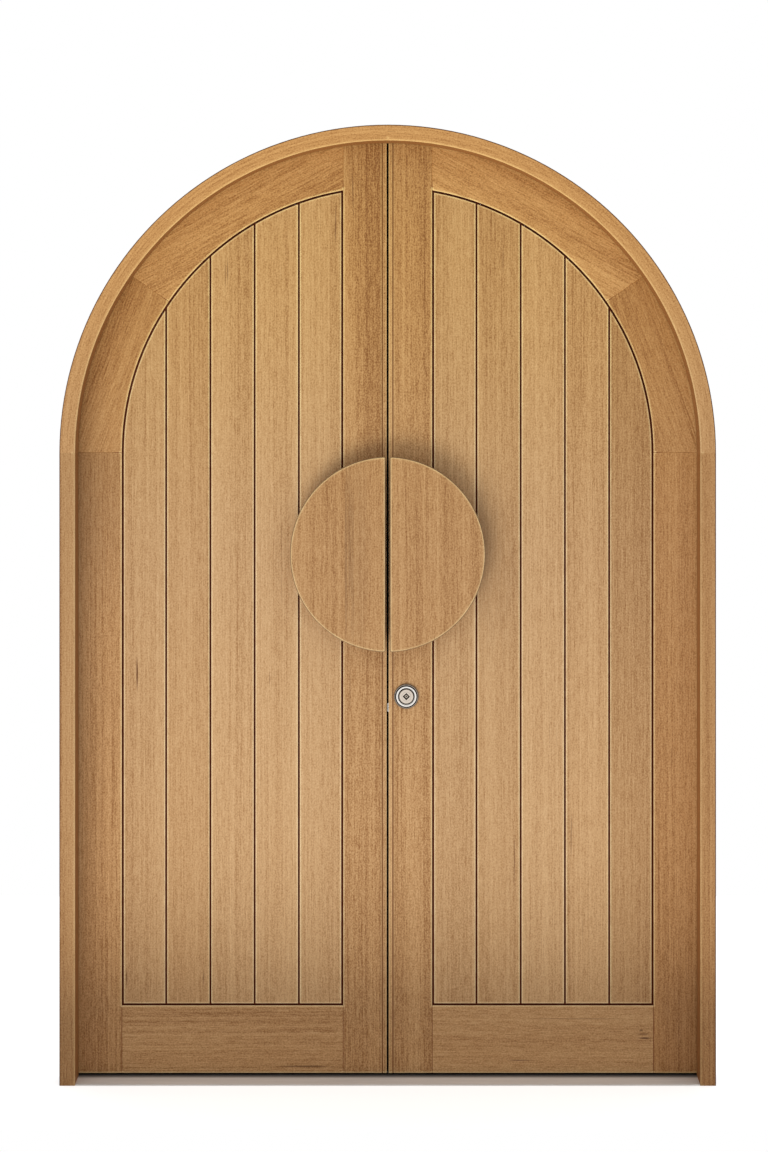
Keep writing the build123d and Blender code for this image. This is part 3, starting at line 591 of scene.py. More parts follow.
@dataclass
class TimberPiece:
    """One timber piece's finish.

    Attributes:
        name: The material's name.
        timber: The timber that it is cut from.
        lines: The lines of the door.
        grain: Which way the fibres run.
        seed: A number that gives the piece its own grain.
        stain: How the piece takes the oil.
        coat: Where it carries painted shade or a dark stain.
        slope: Angle of a sloping grain above level, in radians.
        marks: Resin streaks and other dark marks with places of their own.
    """

    name: str
    timber: Timber
    lines: DoorLines
    grain: Grain
    seed: int
    stain: Stain = Stain()
    coat: Coat = Coat.NONE
    slope: float = 0.0
    marks: Iterable[Mark] = ()

    def __post_init__(self) -> None:
        """Start the material and measure what the layers of the finish go by."""
        self.shader = shader = Shader(self.name)
        self.x, self.y, self.z = shader.parts(shader.place)
        self.aside = shader.calc("ABSOLUTE", self.x)
        self.above = shader.calc("SUBTRACT", self.z, self.lines.spring)
        # Away from the middle line below the spring, and from the arch's centre above it.
        self.across = shader.joined(self.x, 0.0, shader.calc("MAXIMUM", self.above, 0.0))
        self.distance = shader.length(self.across)
        self.squareness = shader.calc("ABSOLUTE", shader.parts(shader.normal)[1])
        shift = tuple(self.seed * step % turn for step, turn in SEED_STEPS)
        self.laid = shader.vector("ADD", self.fibre_place(), shift)

    def fibre_place(self) -> Socket:
        """Turn the place so that it runs along, across and through the fibres.

        Returns:
            The turned place's socket.
        """
        shader = self.shader
        if self.grain is Grain.UPRIGHT:
            return shader.joined(self.z, self.x, self.y)
        if self.grain is Grain.LEVEL:
            return shader.joined(self.x, self.z, self.y)
        if self.grain is Grain.SLOPING:
            cosine, sine = math.cos(self.slope), math.sin(self.slope)
            along = shader.dot(shader.place, (cosine, 0.0, sine))
            return shader.joined(along, shader.dot(shader.place, (-sine, 0.0, cosine)), self.y)
        along = shader.product(shader.calc("ARCTAN2", self.x, self.above), self.lines.head_radius)
        return shader.joined(along, shader.length(shader.joined(self.x, 0.0, self.above)), self.y)

    def lay(self, share: Socket, colour: Colour) -> None:
        """Lay a colour over the finish so far."""
        self.colour = self.shader.blend(share, self.colour, colour)

    def grow(self) -> None:
        """Draw the grain, and set the gloss and relief that follow it."""
        timber, shader, contrast = self.timber, self.shader, self.stain.contrast
        along, across, through = shader.parts(self.laid)
        wander = shader.product(timber.wander.noise(shader, self.laid), timber.wander.share)
        place = shader.joined(along, shader.calc("ADD", across, wander), through)
        layers = (timber.drift, timber.lines, timber.dashes, timber.flecks)
        noises = [layer.noise(shader, place) for layer in layers]
        value: Value = MEAN_NOISE
        for layer, noise in zip(layers, noises):
            swing = shader.calc("SUBTRACT", noise, MEAN_NOISE)
            value = shader.calc("MULTIPLY_ADD", swing, layer.share * contrast, value)
        ridge = shader.calc("SUBTRACT", timber.hairs.noise(shader, place), MEAN_NOISE)
        hair = shader.span(shader.calc("ABSOLUTE", ridge), timber.hair_width, 0.0)
        shown = timber.hair_patches.patches(shader, self.laid)
        value = shader.calc("SUBTRACT", value, shader.product(hair, shown, timber.hairs.share * contrast))
        _, line, dash, fleck = noises
        shader.gloss(dash, timber.gloss)
        shader.put("Specular IOR Level", timber.shine)
        shader.bump(shader.calc("ADD", shader.calc("ADD", line, dash), fleck), *timber.relief)
        tones = [self.stain.on(tone) for tone in (timber.dark, timber.middle, timber.light)]
        self.colour = shader.ramp(value, zip(timber.tone_stops, tones))

    def streak(self) -> None:
        """Add faint resin streaks here and there, and the piece's own marks."""
        timber, shader = self.timber, self.shader
        resin = self.stain.on(timber.resin)
        thin = timber.streaks.patches(shader, self.laid)
        shown = timber.streak_patches.patches(shader, self.laid)
        self.lay(shader.product(thin, shown, timber.streaks.share), resin)
        for mark in self.marks:
            away = shader.vector("SUBTRACT", shader.place, (mark.x, 0.0, mark.z))
            scaled = shader.vector("MULTIPLY", away, (1 / mark.half_width, 0.0, 1 / mark.half_height))
            outline = shader.calc("ADD", shader.length(scaled), timber.ragged.noise(shader, self.laid))
            self.lay(shader.product(timber.mark_edge.at(shader, outline), mark.strength), resin)

    def wear_and_highlight_share(self) -> Value:
        """Tell which edges of the piece are paled by wear and painted highlight, so that plain joints stay
        as they are.

        Returns:
            The share, from 0 to 1.
        """
        timber, shader, lines = self.timber, self.shader, self.lines
        if self.coat is Coat.WALL_SIDE:
            return timber.reveal_wear_and_highlight.at(shader, self.distance, lines.reveal_radius)
        if self.coat is not Coat.PANEL_SIDE:
            return 1.0
        border = shader.product(
            timber.border_wear_and_highlight.at(shader, self.distance, lines.panel_radius),
            timber.panel_foot_wear_and_highlight.at(shader, self.z, lines.panel_foot),
            timber.off_meeting.at(shader, self.aside),
        )
        foot = timber.leaf_foot_wear_and_highlight.at(shader, self.z, lines.leaf_foot)
        meeting = timber.meeting_wear_and_highlight.at(shader, self.aside)
        return shader.calc("MAXIMUM", shader.calc("MAXIMUM", border, foot), meeting)

    def ease(self) -> None:
        """Pale the eased edges, as wear and painted highlight."""
        timber, shader = self.timber, self.shader
        arris = shader.product(*(step.at(shader, self.squareness) for step in timber.arris))
        reach = timber.rim_reach if self.coat is Coat.RIM else timber.wear_and_highlight_reach
        # Painted highlight on the edges, mixed with patchy wear.
        wear_and_highlight = shader.calc("MAXIMUM", arris, shader.near_edge(reach))
        patchy = timber.wear_and_highlight_patches.patches(shader, shader.place, timber.least_wear_and_highlight)
        self.lay(shader.product(wear_and_highlight, patchy, self.wear_and_highlight_share()), self.stain.on(timber.pale))

    def paint_height_light(self) -> None:
        """Deepen the colour towards the bottom as painted shade, and warm and brighten it under the arch as
        painted light.
        """
        timber, shader, heights = self.timber, self.shader, self.timber.top_light_heights
        # Painted shade darkens the colour near the floor and painted light brightens it under the arch, by
        # height alone.
        bottom_shade = shader.span(self.z, *timber.bottom_shade_heights, 1.0 + timber.bottom_shade_depth, 1.0)
        top_light = shader.span(self.z, *heights, 0.0, timber.top_light_depth)
        deeper = shader.add("ShaderNodeGamma", self.colour, shader.calc("ADD", bottom_shade, top_light))
        gains = [shader.span(self.z, *heights, 1.0, gain) for gain in timber.top_light_gains]
        self.colour = shader.vector("MULTIPLY", deeper.outputs[0], shader.joined(*gains))

    def coat_wall_side(self) -> None:
        """Stain the frame's sides that face the wall, and paint shade on its reveal."""
        timber, shader, backing = self.timber, self.shader, self.timber.backing
        facing = shader.dot(shader.normal, shader.vector("NORMALIZE", self.across))
        shine = shader.span(facing, backing.begins, backing.full, timber.shine, timber.wall_shine)
        shader.put("Specular IOR Level", shine)
        # Painted shade on the reveal's sides that face the opening.
        self.lay(timber.reveal_shade_share.at(shader, facing), timber.reveal)
        self.lay(backing.at(shader, facing), timber.wall_stain_and_rim_shade)

    def paint_leaf_shade(self) -> None:
        """Paint shade into the grooves and onto the narrow sides in a leaf's outer half, and into the quirk.
        """
        timber, shader, lines = self.timber, self.shader, self.lines
        outer = timber.outer_half.at(shader, self.y, lines.leaf_middle)
        share = shader.product(timber.below_face.at(shader, self.y, lines.leaf_front), outer)
        if self.coat is Coat.PANEL_SIDE:
            border = timber.groove_shade_border.at(shader, self.distance, lines.panel_radius)
            share = shader.product(share, border, timber.groove_shade_aside.at(shader, self.aside))
        # Painted shade: the recessed sides and groove floors are darkened and made less shiny.
        shader.put("Specular IOR Level", shader.span(share, 0.0, 1.0, timber.shine, timber.groove_shade_shine))
        self.lay(shader.product(share, timber.groove_shade_share), timber.groove_shade)
        if self.coat is Coat.PANEL_SIDE:
            # Painted shade in the quirk beside the meeting gap.
            near, far = lines.quirk
            begins = shader.span(self.aside, near - timber.quirk_fade, near)
            ends = shader.span(self.aside, far + timber.quirk_fade, far)
            self.lay(shader.product(begins, ends, outer, timber.quirk_shade_share), timber.quirk)

    def material(self) -> bpy.types.Material:
        """Put the layers of the finish on each other.

        Returns:
            The material.
        """
        for layer in (self.grow, self.streak, self.ease, self.paint_height_light):
            layer()
        if self.coat is Coat.WALL_SIDE:
            self.coat_wall_side()
        elif self.coat is Coat.RIM:
            # Painted shade round the pull's rim.
            self.lay(self.timber.rim.at(self.shader, self.squareness), self.timber.wall_stain_and_rim_shade)
        elif self.coat is not Coat.NONE:
            self.paint_leaf_shade()
        self.shader.put("Base Color", self.colour)
        return self.shader.material


@dataclass(frozen=True)
class Steel:
    """Stainless steel, brushed along one axis or turned on a lathe.

    Attributes:
        colour: Colour of the bare metal.
        dull: Colour in the brush lines.
        gloss: Roughness in the brush lines and of the bare metal.
        relief: Strength of the lines' relief, and its height in metres.
        wear: Patches of wear on brushed metal, with their share beside the lines.
        turned_wear: The same on turned metal.
        turning: Turning lines along the radius and the axis.
        rim_room: How far the last ring reaches, as a share of where it begins.
    """

    colour: Colour = paint(205, 200, 193)
    dull: Colour = paint(158, 153, 147)
    gloss: Span = (0.40, 0.22)
    relief: Span = (0.12, 0.0001)
    wear: Layer = Layer((60.0, 60.0, 60.0), 0.5, detail=2.0)
    turned_wear: Layer = Layer((140.0, 140.0, 140.0), 0.5, detail=2.0)
    turning: Layer = Layer((2600.0, 900.0, 1.0))
    rim_room: float = 1.25

    def finish(self, shader: Shader, lines: Socket, wear: Layer) -> Socket:
        """Put brush lines and light wear on the metal.

        Args:
            shader: The material in the making.
            lines: The brush lines, from 0 to 1.
            wear: Slow patches of wear.

        Returns:
            The colour's socket.
        """
        mixed = shader.mixed(wear.share, lines, wear.noise(shader, shader.place))
        shader.gloss(mixed, self.gloss)
        shader.put("Metallic", 1.0)
        shader.bump(lines, *self.relief)
        return shader.ramp(mixed, zip(MIDDLE_NOISE, (self.dull, self.colour)))

    def brushed(self, name: str, brush: Brush) -> bpy.types.Material:
        """Make steel with straight brush lines.

        Args:
            name: The material's name.
            brush: Which way the lines run.

        Returns:
            The material.
        """
        shader = Shader(name)
        lines = brush.lines().noise(shader, shader.place)
        shader.put("Base Color", self.finish(shader, lines, self.wear))
        return shader.material

    def turned(self, name: str, axis: Span, rings: Rings, square: bool = False) -> bpy.types.Material:
        """Make steel with fine turning lines round an axis along Y and rings of tone over them.

        Args:
            name: The material's name.
            axis: Where the axis is across the door and how high, in metres.
            rings: Radius where each tone begins, from the axis outwards, with the tone.
            square: Whether the rings are diamonds round the axis.

        Returns:
            The material.
        """
        shader = Shader(name)
        x, y, z = shader.parts(shader.place)
        aside, above = (shader.calc("SUBTRACT", *pair) for pair in zip((x, z), axis))
        radius = shader.length(shader.joined(aside, 0.0, above))
        lines = self.turning.noise(shader, shader.joined(radius, y, 0.0))
        colour = self.finish(shader, lines, self.turned_wear)
        if square:
            radius = shader.calc("ADD", shader.calc("ABSOLUTE", aside), shader.calc("ABSOLUTE", above))
        limit = self.rim_room * rings[-1][0]
        stops = [(start / limit, tone) for start, tone in rings]
        tinted = shader.ramp(shader.calc("DIVIDE", radius, limit), stops, stepped=True)
        shader.put("Base Color", shader.vector("MULTIPLY", colour, tinted))
        return shader.material


@dataclass(frozen=True)
class BlastedAluminium:
    """Aluminium that was blasted and anodised to a pale warm grey.

    Attributes:
        colour: Colour of the clean metal.
        scuffed: Colour where feet have dulled it.
        tone_stops: Pattern values of the scuffed and the clean metal.
        gloss: Roughness of the scuffed and the clean metal.
        relief: Strength of the grain's relief, and its height in metres.
        metal: How metallic the anodised surface looks.
        grain: Blasted grain, with its share beside the scuffs.
        scuffs: Scuffs along the tread.
        under_leaf_shade: Colour of the painted shade on the tread along the foot of the leaves.
        shade_rising: Depths where the painted shade deepens, in metres.
        shade_fading: Depths where it fades again.
    """

    colour: Colour = paint(240, 236, 231)
    scuffed: Colour = paint(218, 213, 207)
    tone_stops: Span = (0.3, 0.62)
    gloss: Span = (0.62, 0.46)
    relief: Span = (0.25, 0.0001)
    metal: float = 0.08
    grain: Layer = Layer((1500.0, 1500.0, 1500.0), 0.35)
    scuffs: Layer = Layer((5.0, 60.0, 60.0), detail=4.0, rough=0.65)
    under_leaf_shade: Colour = paint(34, 30, 27)
    shade_rising: Step = Step(-0.016, 0.009, 0.9)
    shade_fading: Step = Step(0.034, 0.022)

    def material(self, name: str) -> bpy.types.Material:
        """Make the material with a blasted grain, scuffs along the tread and painted shade along the foot of
        the leaves.

        Args:
            name: The material's name.

        Returns:
            The material.
        """
        shader = Shader(name)
        grain = self.grain.noise(shader, shader.place)
        mixed = shader.mixed(self.grain.share, self.scuffs.noise(shader, shader.place), grain)
        colour = shader.ramp(mixed, zip(self.tone_stops, (self.scuffed, self.colour)))
        depth = shader.parts(shader.place)[1]
        # Painted shade: the tread is darkened along the foot of the leaves, where they shade it.
        tread_shade = shader.product(self.shade_rising.at(shader, depth), self.shade_fading.at(shader, depth))
        shader.put("Base Color", shader.blend(tread_shade, colour, self.under_leaf_shade))
        shader.gloss(mixed, self.gloss)
        shader.put("Metallic", self.metal)
        shader.bump(grain, *self.relief)
        return shader.material


@dataclass(frozen=True)
class Rubber:
    """Black sealing rubber.

    Attributes:
        colour: Colour of the clean rubber.
        dusty: Colour where dust lies on it.
        gloss: Roughness of the clean and the dusty rubber.
        relief: Strength of the skin's relief, and its height in metres.
        shine: Strength of the reflection.
        dust: Patches of dust.
        skin: Fine skin.
    """

    colour: Colour = paint(11, 10, 9)
    dusty: Colour = paint(20, 18, 16)
    gloss: Span = (0.6, 0.8)
    relief: Span = (0.2, 0.0001)
    shine: float = 0.1
    dust: Layer = Layer((30.0, 30.0, 8.0), detail=3.0, rough=0.6)
    skin: Layer = Layer((1800.0, 1800.0, 1800.0))

    def material(self, name: str) -> bpy.types.Material:
        """Make the material with a fine skin and a little dust.

        Args:
            name: The material's name.

        Returns:
            The material.
        """
        shader = Shader(name)
        dust = self.dust.noise(shader, shader.place)
        shader.put("Base Color", shader.blend(dust, self.colour, self.dusty))
        shader.gloss(dust, self.gloss)
        shader.put("Specular IOR Level", self.shine)
        shader.bump(self.skin.noise(shader, shader.place), *self.relief)
        return shader.material


def dress(material: bpy.types.Material, *nodes: str) -> None:
    """Give solids their only material.

    Args:
        material: The material.
        nodes: The solids' names.
    """
    for node in nodes:
        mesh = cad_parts[node].data
        mesh.materials.clear()
        mesh.materials.append(material)
        log.info("dressed %s with %s", node, material.name)


def set_out(name: str, data: bpy.types.ID) -> bpy.types.Object:
    """Put a new object in the scene.

    Args:
        name: The object's name.
        data: Its mesh, light or camera.

    Returns:
        The object.
    """
    thing = bpy.data.objects.new(name, data)
    bpy.context.scene.collection.objects.link(thing)
    return thing


@dataclass
class DoorFrame:
    """Jambs, curved heads, threshold and what is let into them.

    Attributes:
        lines: The lines of the door.
        timber: Finish of the jambs and heads.
        metal: Finish of the threshold.
        steel: Finish of the keep for the top bolt.
        rubber: Finish of the seals.
        jamb_stains: How the jambs take the oil, the left one first.
        head_stains: How the heads take it, the left one first.
        jamb_seed, head_seed, dowel_seed: Numbers that give these pieces their own grain.
    """

    lines: DoorLines
    timber: Timber
    metal: BlastedAluminium
    steel: Steel
    rubber: Rubber
    jamb_stains: Sequence[Stain] = (Stain(0.85, 1.19), Stain(0.90, 1.28))
    head_stains: Sequence[Stain] = (Stain(1.0, 1.13, 0.9), Stain(1.0, 1.13, 0.9))
    jamb_seed: int = 3
    head_seed: int = 7
    dowel_seed: int = 12

    def dress(self) -> None:
        """Finish each piece of the frame."""
        for index, side in enumerate(SIDES):
            for part, grain, seed, stain in (
                ("jamb", Grain.UPRIGHT, self.jamb_seed, self.jamb_stains[index]),
                ("head", Grain.ARCHED, self.head_seed, self.head_stains[index]),
            ):
                name = f"{side}_{part}"
                finish = (f"{name}_timber", self.timber, self.lines, grain, seed + index, stain)
                dress(TimberPiece(*finish, Coat.WALL_SIDE).material(), name)
        dowels = TimberPiece("dowel_timber", self.timber, self.lines, Grain.UPRIGHT, self.dowel_seed)
        dress(dowels.material(), "frame_dowels")
        dress(self.metal.material("threshold_metal"), "threshold")
        dress(self.rubber.material("frame_seal_rubber"), "frame_seal", "threshold_seal")
        dress(self.steel.brushed("keep_steel", Brush.SHORT_UPRIGHT), "head_bolt_keep")


@dataclass
class Hinges:
    """Hinge plates, pins and screws.

    Attributes:
        steel: Finish of all of them.
    """

    steel: Steel

    def dress(self) -> None:
        """Finish the plates, pins and screws."""
        bodies = ("frame", "left_leaf", "right_leaf")
        plates, screws = ([f"{body}_hinge_{part}" for body in bodies] for part in ("plates", "screws"))
        dress(self.steel.brushed("hinge_steel", Brush.UPRIGHT), *plates)
        dress(self.steel.brushed("pin_steel", Brush.ROUND), "hinge_pins", *screws)


@dataclass
class Leaf:
    """One boarded leaf with its pulls.

    Attributes:
        side: Left or right, seen from outside.
        lines: The lines of the door.
        timber: Finish of the boards and rails.
        steel: Finish of the posts behind the pulls.
        seed: A number that gives the leaf its own grain.
        boards: How each board takes the oil, from the meeting stile outwards.
        hinge_stile, meeting_stile: How the stiles take it.
        bottom_rail, lower_rail, upper_rail: How the bottom rail and the curved rails take it.
        pull: How the pulls take it.
        pull_offset: What sets the grain of the pulls apart.
        marks: Resin streaks and other dark marks on some pieces, by the piece's name after the side.
        lower_slope, upper_slope: Angles of the curved rails' grain above level, in degrees.
    """

    side: str
    lines: DoorLines
    timber: Timber
    steel: Steel
    seed: int
    boards: Sequence[Stain]
    hinge_stile: Stain
    meeting_stile: Stain = Stain(0.98, 1.16, 1.3)
    bottom_rail: Stain = Stain(1.0, 1.12, 1.1)
    lower_rail: Stain = Stain(0.99, 1.25, 1.0)
    upper_rail: Stain = Stain(1.12, 1.13, 1.0)
    pull: Stain = Stain(0.95, 1.19, 1.1)
    pull_offset: int = 12
    marks: dict[str, Sequence[Mark]] = field(default_factory=dict)
    lower_slope: float = 70.0
    upper_slope: float = 28.0

    def dress_timber(
        self,
        part: str,
        grain: Grain,
        offset: int,
        stain: Stain,
        coat: Coat,
        slope: float = 0.0,
    ) -> None:
        """Finish one timber piece of the leaf.

        Args:
            part: The piece's name after the side.
            grain: Which way its fibres run.
            offset: What sets its grain apart from its neighbours.
            stain: How it takes the oil.
            coat: Where it carries painted shade or a dark stain.
            slope: Angle of a sloping grain above level, in degrees.
        """
        name = f"{self.side}_{part}"
        angle = -SIDES[self.side] * math.radians(slope)
        finish = (f"{name}_timber", self.timber, self.lines, grain, self.seed + offset, stain, coat)
        dress(TimberPiece(*finish, angle, self.marks.get(part, ())).material(), name)

    def dress(self) -> None:
        """Finish each piece of the leaf."""
        border = (
            ("hinge_stile", Grain.UPRIGHT, self.hinge_stile, 0.0),
            ("meeting_stile", Grain.UPRIGHT, self.meeting_stile, 0.0),
            ("bottom_rail", Grain.LEVEL, self.bottom_rail, 0.0),
            ("lower_arch_rail", Grain.SLOPING, self.lower_rail, self.lower_slope),
            ("upper_arch_rail", Grain.SLOPING, self.upper_rail, self.upper_slope),
        )
        for offset, (part, grain, stain, slope) in enumerate(border, start=1):
            self.dress_timber(part, grain, offset, stain, Coat.PANEL_SIDE, slope)
        for number, stain in enumerate(self.boards, start=1):
            self.dress_timber(f"board_{number}", Grain.UPRIGHT, len(border) + number, stain, Coat.GROOVES)
        for offset, part in enumerate(("outer_pull", "inner_pull"), start=self.pull_offset):
            self.dress_timber(part, Grain.UPRIGHT, offset, self.pull, Coat.RIM)
        dress(self.steel.brushed(f"{self.side}_post_steel", Brush.THROUGH), f"{self.side}_pull_posts")


@dataclass
class MeetingSeal:
    """Soft rubber lip along the meeting edge of a leaf.

    Attributes:
        side: Left or right, seen from outside.
        rubber: Finish of the lip.
        mouth: Where the kerf opens, from the middle of the gap, in metres.
        reach: How far the lip passes the middle of the gap.
        root_thickness, tip_thickness: Thickness in the kerf and of the free edge.
        lean: How far the free edge stands off towards outside or inside.
        neck: Where the lip has thinned, as a share of the way to the mouth.
        neck_swell: Half thicknesses of the neck outside and inside, beside that of the free edge.
        tip_round: How far the free edge is rounded, beside its half thickness.
        foot: Height of the lip's lower end above the floor.
        steps: Number of rings up the lip.
    """

    side: str
    rubber: Rubber
    mouth: float = 0.0025
    reach: float = 0.0009
    root_thickness: float = 0.0028
    tip_thickness: float = 0.0009
    lean: float = 0.0012
    neck: float = 0.4
    neck_swell: Span = (1.6, 1.2)
    tip_round: float = 0.6
    foot: float = 0.009
    steps: int = 40

    def profile(self, low: Vector, high: Vector) -> list[tuple[float, float]]:
        """Draw the lip's outline across its length.

        Args:
            low: Lowest corner of the solid that the lip stands for.
            high: Highest corner of that solid.

        Returns:
            Points across the door and through it, once round the outline.
        """
        hand = SIDES[self.side]
        root = hand * max(abs(low.x), abs(high.x))
        mouth = hand * self.mouth
        neck = mouth * self.neck
        outside, inside = self.neck_swell
        tip = -hand * self.reach
        mid = (low.y + high.y) / 2
        free = mid + hand * self.lean
        half_root = self.root_thickness / 2
        half_tip = self.tip_thickness / 2
        return [
            (root, mid - half_root),
            (mouth, mid - half_root),
            (neck, free - half_tip * outside),
            (tip, free - half_tip),
            (tip - hand * half_tip * self.tip_round, free),
            (tip, free + half_tip),
            (neck, free + half_tip * inside),
            (mouth, mid + half_root),
            (root, mid + half_root),
        ]

    def build(self) -> None:
        """Run the outline up the meeting edge in place of the plain solid."""
        node = f"{self.side}_meeting_seal"
        low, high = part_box(node)
        outline = self.profile(low, high)
        name = f"{self.side}_meeting_lip"
        mesh = bpy.data.meshes.new(name)
        body = bmesh.new()
        rings = []
        for step in range(self.steps + 1):
            height = self.foot + (high.z - self.foot) * step / self.steps
            rings.append([body.verts.new((x, y, height)) for x, y in outline])
        for lower, upper in zip(rings, rings[1:]):
            for index in range(len(outline)):
                after = (index + 1) % len(outline)
                body.faces.new((lower[index], lower[after], upper[after], upper[index]))
        body.faces.new(rings[0])
        body.faces.new(rings[-1])
        bmesh.ops.recalc_face_normals(body, faces=body.faces)
        body.to_mesh(mesh)
        body.free()
        mesh.materials.append(self.rubber.material(f"{self.side}_lip_rubber"))
        piece = set_out(name, mesh)
        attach(piece, f"{self.side}_leaf")
        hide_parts(node)
        log.info("built %s", name)


@dataclass
class Lock:
    """Deadlock in the right leaf and the strike plate in the left one.

    Attributes:
        steel: Finish of the plates and bolts.
        polished: Finish of the turned pieces.
        rose_rings: Radius where each tone of the rose begins, in metres, with the tone; the dark rings paint
            shade and the white ring a highlight.
        face_rings: The same for the face of the cylinder.
        recess_rings: The same for the diamond recess of the plug, measured to its corners; its dark rings
            paint shade in the recess.
    """

    steel: Steel
    polished: Steel = Steel(paint(253, 251, 248), paint(238, 234, 229), gloss=(0.42, 0.26))
    # Painted shade and highlight: the dark outer ring and the dark ring inside the flange paint shade, the
    # white ring paints a highlight, and the inner tone darkens the groove.
    rose_rings: Rings = (
        (0.0, paint(40, 35, 31)),
        (0.0208, paint(253, 252, 250)),
        (0.0252, paint(40, 34, 29)),
        (0.0284, paint(168, 156, 145)),
        (0.0300, paint(70, 55, 42)),
    )
    face_rings: Rings = (
        (0.0, paint(229, 218, 206)),
        (0.0106, paint(186, 176, 166)),
        (0.0118, paint(229, 218, 206)),
        (0.0170, paint(160, 150, 140)),
    )
    # Painted shade in the diamond recess: its middle dot and its walls are darkened.
    recess_rings: Rings = (
        (0.0, paint(34, 29, 25)),
        (0.0022, paint(206, 195, 183)),
        (0.0045, paint(48, 42, 37)),
        (0.0092, paint(229, 218, 206)),
    )

    def dress(self) -> None:
        """Finish the pieces of the lock."""
        low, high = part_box("key_plug")
        axis = ((low.x + high.x) / 2, (low.z + high.z) / 2)
        dress(self.polished.turned("rose_steel", axis, self.rose_rings), "outer_rose", "inner_rose")
        dress(self.polished.turned("plug_steel", axis, self.recess_rings, square=True), "key_plug")
        face = self.polished.turned("cylinder_steel", axis, self.face_rings)
        dress(face, "lock_cylinder", "thumb_turn", "lock_cam")
        plate = self.steel.brushed("plate_steel", Brush.UPRIGHT)
        dress(plate, "lock_forend", "strike_plate", "lock_housing")
        dress(self.polished.brushed("bolt_steel", Brush.ACROSS), "deadbolt")
        dress(self.steel.brushed("screw_steel", Brush.ACROSS), "forend_screws", "left_edge_screws")


@dataclass
class EdgeBolts:
    """Sliding bolts in the edge of the left leaf.

    Attributes:
        steel: Finish of the bolts and their housings.
    """

    steel: Steel

    def dress(self) -> None:
        """Finish the bolts and their housings."""
        pieces = [f"{end}_{part}" for end in ("top", "bottom") for part in ("slide_housing", "sliding_bolt")]
        dress(self.steel.brushed("edge_bolt_steel", Brush.UPRIGHT), *pieces)


@dataclass(frozen=True)
class Lamp:
    """One soft lamp.

    Attributes:
        name: The lamp's name.
        place: Where its middle is, in metres.
        target: The point it faces.
        width, height: Size of its face.
        power: Its power in watts.
    """

    name: str
    place: Place
    target: Place
    width: float
    height: float
    power: float

    def hang(self) -> None:
        """Hang the lamp out of the camera's sight."""
        light = bpy.data.lights.new(self.name, "AREA")
        light.shape = "RECTANGLE"
        light.size = self.width
        light.size_y = self.height
        light.energy = self.power
        holder = set_out(self.name, light)
        holder.location = self.place
        aim = Vector(self.target) - Vector(self.place)
        holder.rotation_euler = aim.to_track_quat("-Z", "Y").to_euler()
        holder.visible_camera = False
        holder.visible_glossy = False


@dataclass
class Studio:
    """Pale floor, soft light and the camera.

    Attributes:
        ambient: Strength of the light from all round.
        lamps: The soft lamps; the front one shines up past the edge of the floor.
        floor_front, floor_back: How far the floor reaches to the outside and inside, in metres.
        floor_half_width: How far it reaches to each side.
        floor_glow: What the camera sees the floor give off by itself.
        floor_colour: Colour of the floor under the light.
        camera_place: Where the camera is.
        lens, sensor: Focal length and width of the sensor, in millimetres.
        shift: How far the picture is shifted, in picture widths.
        sight: How far the camera sees, in metres.
    """

    ambient: float = 0.66
    lamps: Sequence[Lamp] = (
        Lamp("front_lamp", (-2.5, -5.0, -3.6), (0.0, 0.0, 1.3), 5.0, 3.4, 330.0),
        Lamp("back_lamp", (0.8, 5.0, 3.2), (0.0, 0.0, 1.2), 4.0, 3.0, 110.0),
    )
    floor_front: float = 0.46
    floor_back: float = 2.5
    floor_half_width: float = 2.6
    floor_glow: float = 0.62
    floor_colour: Colour = (0.8, 0.8, 0.8, 1.0)
    camera_place: Place = (0.0, -6.76, 1.71)
    lens: float = 125.8
    sensor: float = 36.0
    shift: Span = (-0.0048, -0.228)
    sight: float = 60.0

    def set_world(self) -> None:
        """Surround the door with plain white that lights it softly."""
        world = bpy.data.worlds.new("studio")
        bpy.context.scene.world = world
        world.use_nodes = True
        nodes = Nodes(world.node_tree)
        light = nodes.tree.nodes["Background"]
        nodes.fill(light, WHITE, self.ambient)
        white = nodes.add("ShaderNodeBackground", WHITE, 1.0)
        nodes.split_sight(light, white, "World Output")

    def lay_floor(self) -> None:
        """Lay the floor that keeps the door's shadow."""
        mesh = bpy.data.meshes.new("studio_floor")
        wide, front, back = self.floor_half_width, -self.floor_front, self.floor_back
        corners = [(-wide, front, 0.0), (wide, front, 0.0), (wide, back, 0.0), (-wide, back, 0.0)]
        mesh.from_pydata(corners, [], [(0, 1, 2, 3)])
        floor = set_out("studio_floor", mesh)
        material = bpy.data.materials.new("studio_floor")
        material.use_nodes = True
        nodes = Nodes(material.node_tree)
        nodes.tree.nodes.remove(nodes.tree.nodes["Principled BSDF"])
        matt = nodes.add("ShaderNodeBsdfDiffuse", self.floor_colour)
        glow = nodes.add("ShaderNodeEmission", WHITE, self.floor_glow)
        both = nodes.add("ShaderNodeAddShader", matt.outputs[0], glow.outputs[0])
        nodes.split_sight(matt, both, "Material Output")
        mesh.materials.append(material)

    def set_camera(self) -> None:
        """Stand the camera square in front of the door."""
        camera = bpy.data.cameras.new("camera")
        camera.sensor_fit = "HORIZONTAL"
        camera.sensor_width = self.sensor
        camera.lens = self.lens
        camera.shift_x, camera.shift_y = self.shift
        camera.clip_end = self.sight
        stand = set_out("camera", camera)
        stand.location = self.camera_place
        stand.rotation_euler = (math.pi / 2, 0.0, 0.0)
        bpy.context.scene.camera = stand

    def build(self) -> None:
        """Set up the light, the floor and the camera."""
        bpy.context.scene.view_settings.view_transform = "Standard"
        self.set_world()
        self.lay_floor()
        for lamp in self.lamps:
            lamp.hang()
        self.set_camera()
        log.info("set up the studio")


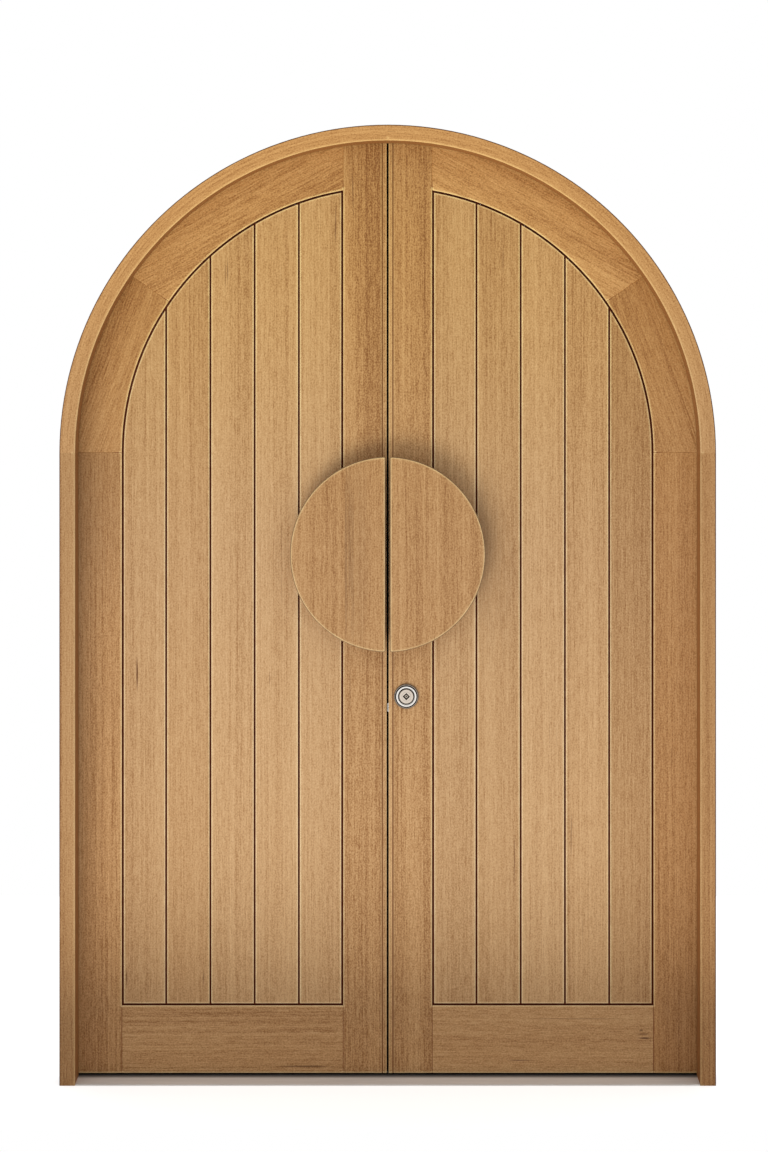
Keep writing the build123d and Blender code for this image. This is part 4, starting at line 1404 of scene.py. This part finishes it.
LEFT_MARKS = {
    "board_2": (Mark(-0.298, 1.008, 0.0022, 0.026, 0.5),),
    "board_3": (Mark(-0.410, 2.03, 0.0024, 0.045, 0.45), Mark(-0.404, 2.04, 0.0024, 0.040, 0.45)),
    "board_4": (Mark(-0.465, 0.253, 0.0025, 0.022, 0.5),),
    "board_5": (Mark(-0.633, 1.022, 0.0034, 0.050, 0.9), Mark(-0.659, 0.253, 0.0025, 0.030, 0.6)),
    "bottom_rail": (Mark(-0.214, 0.030, 0.096, 0.0030, 0.7),),
    # A broad darker patch on the upper hinge stile.
    "hinge_stile": (Mark(-0.73, 1.52, 0.15, 0.42, 0.20),),
    "outer_pull": (
        Mark(-0.104, 1.33, 0.0050, 0.36, 0.36),
        Mark(-0.096, 1.36, 0.0055, 0.32, 0.32),
        Mark(-0.088, 1.30, 0.0045, 0.32, 0.22),
        Mark(-0.070, 1.33, 0.034, 0.38, 0.12),
    ),
}
LEFT_BOARDS = (Stain(1.0), Stain(1.02), Stain(1.02), Stain(0.98, 1.07), Stain(0.97, 1.03))
RIGHT_BOARDS = (Stain(0.98), Stain(0.97, 1.04), Stain(1.02), Stain(1.02, 1.03), Stain(0.92, 1.1))
RIGHT_MARKS = {
    # Painted shade round the right pull, a broad faint darkening of this board.
    "board_2": (Mark(0.13, 1.31, 0.30, 0.34, 0.20),),
    "bottom_rail": (
        Mark(0.640, 0.121, 0.007, 0.0030, 0.7),
        Mark(0.645, 0.111, 0.020, 0.0024, 0.6),
        Mark(0.649, 0.101, 0.020, 0.0032, 0.95),
        Mark(0.335, 0.045, 0.040, 0.0022, 0.6),
        Mark(0.46, 0.150, 0.16, 0.0020, 0.35),
    ),
}


def main() -> None:
    """Dress the door piece by piece and set up the studio."""
    logging.basicConfig(level=logging.INFO, format="%(message)s")
    lines = DoorLines.measured()
    timber = Timber()
    steel = Steel()
    rubber = Rubber()
    # The frame gets stronger painted light under the arch.
    frame_timber = Timber(top_light_heights=(1.40, 2.35), top_light_gains=(1.42, 1.49, 1.36))
    DoorFrame(lines, frame_timber, BlastedAluminium(), steel, rubber).dress()
    Hinges(steel).dress()
    for side, seed, boards, hinge_stile, marks in (
        ("left", 20, LEFT_BOARDS, Stain(1.0, 1.19, 1.1), LEFT_MARKS),
        ("right", 40, RIGHT_BOARDS, Stain(0.98, 1.32, 1.1), RIGHT_MARKS),
    ):
        Leaf(side, lines, timber, steel, seed, boards, hinge_stile, marks=marks).dress()
        MeetingSeal(side, rubber).build()
    Lock(steel).dress()
    EdgeBolts(steel).dress()
    Studio().build()


if __name__ == "__main__":
    main()
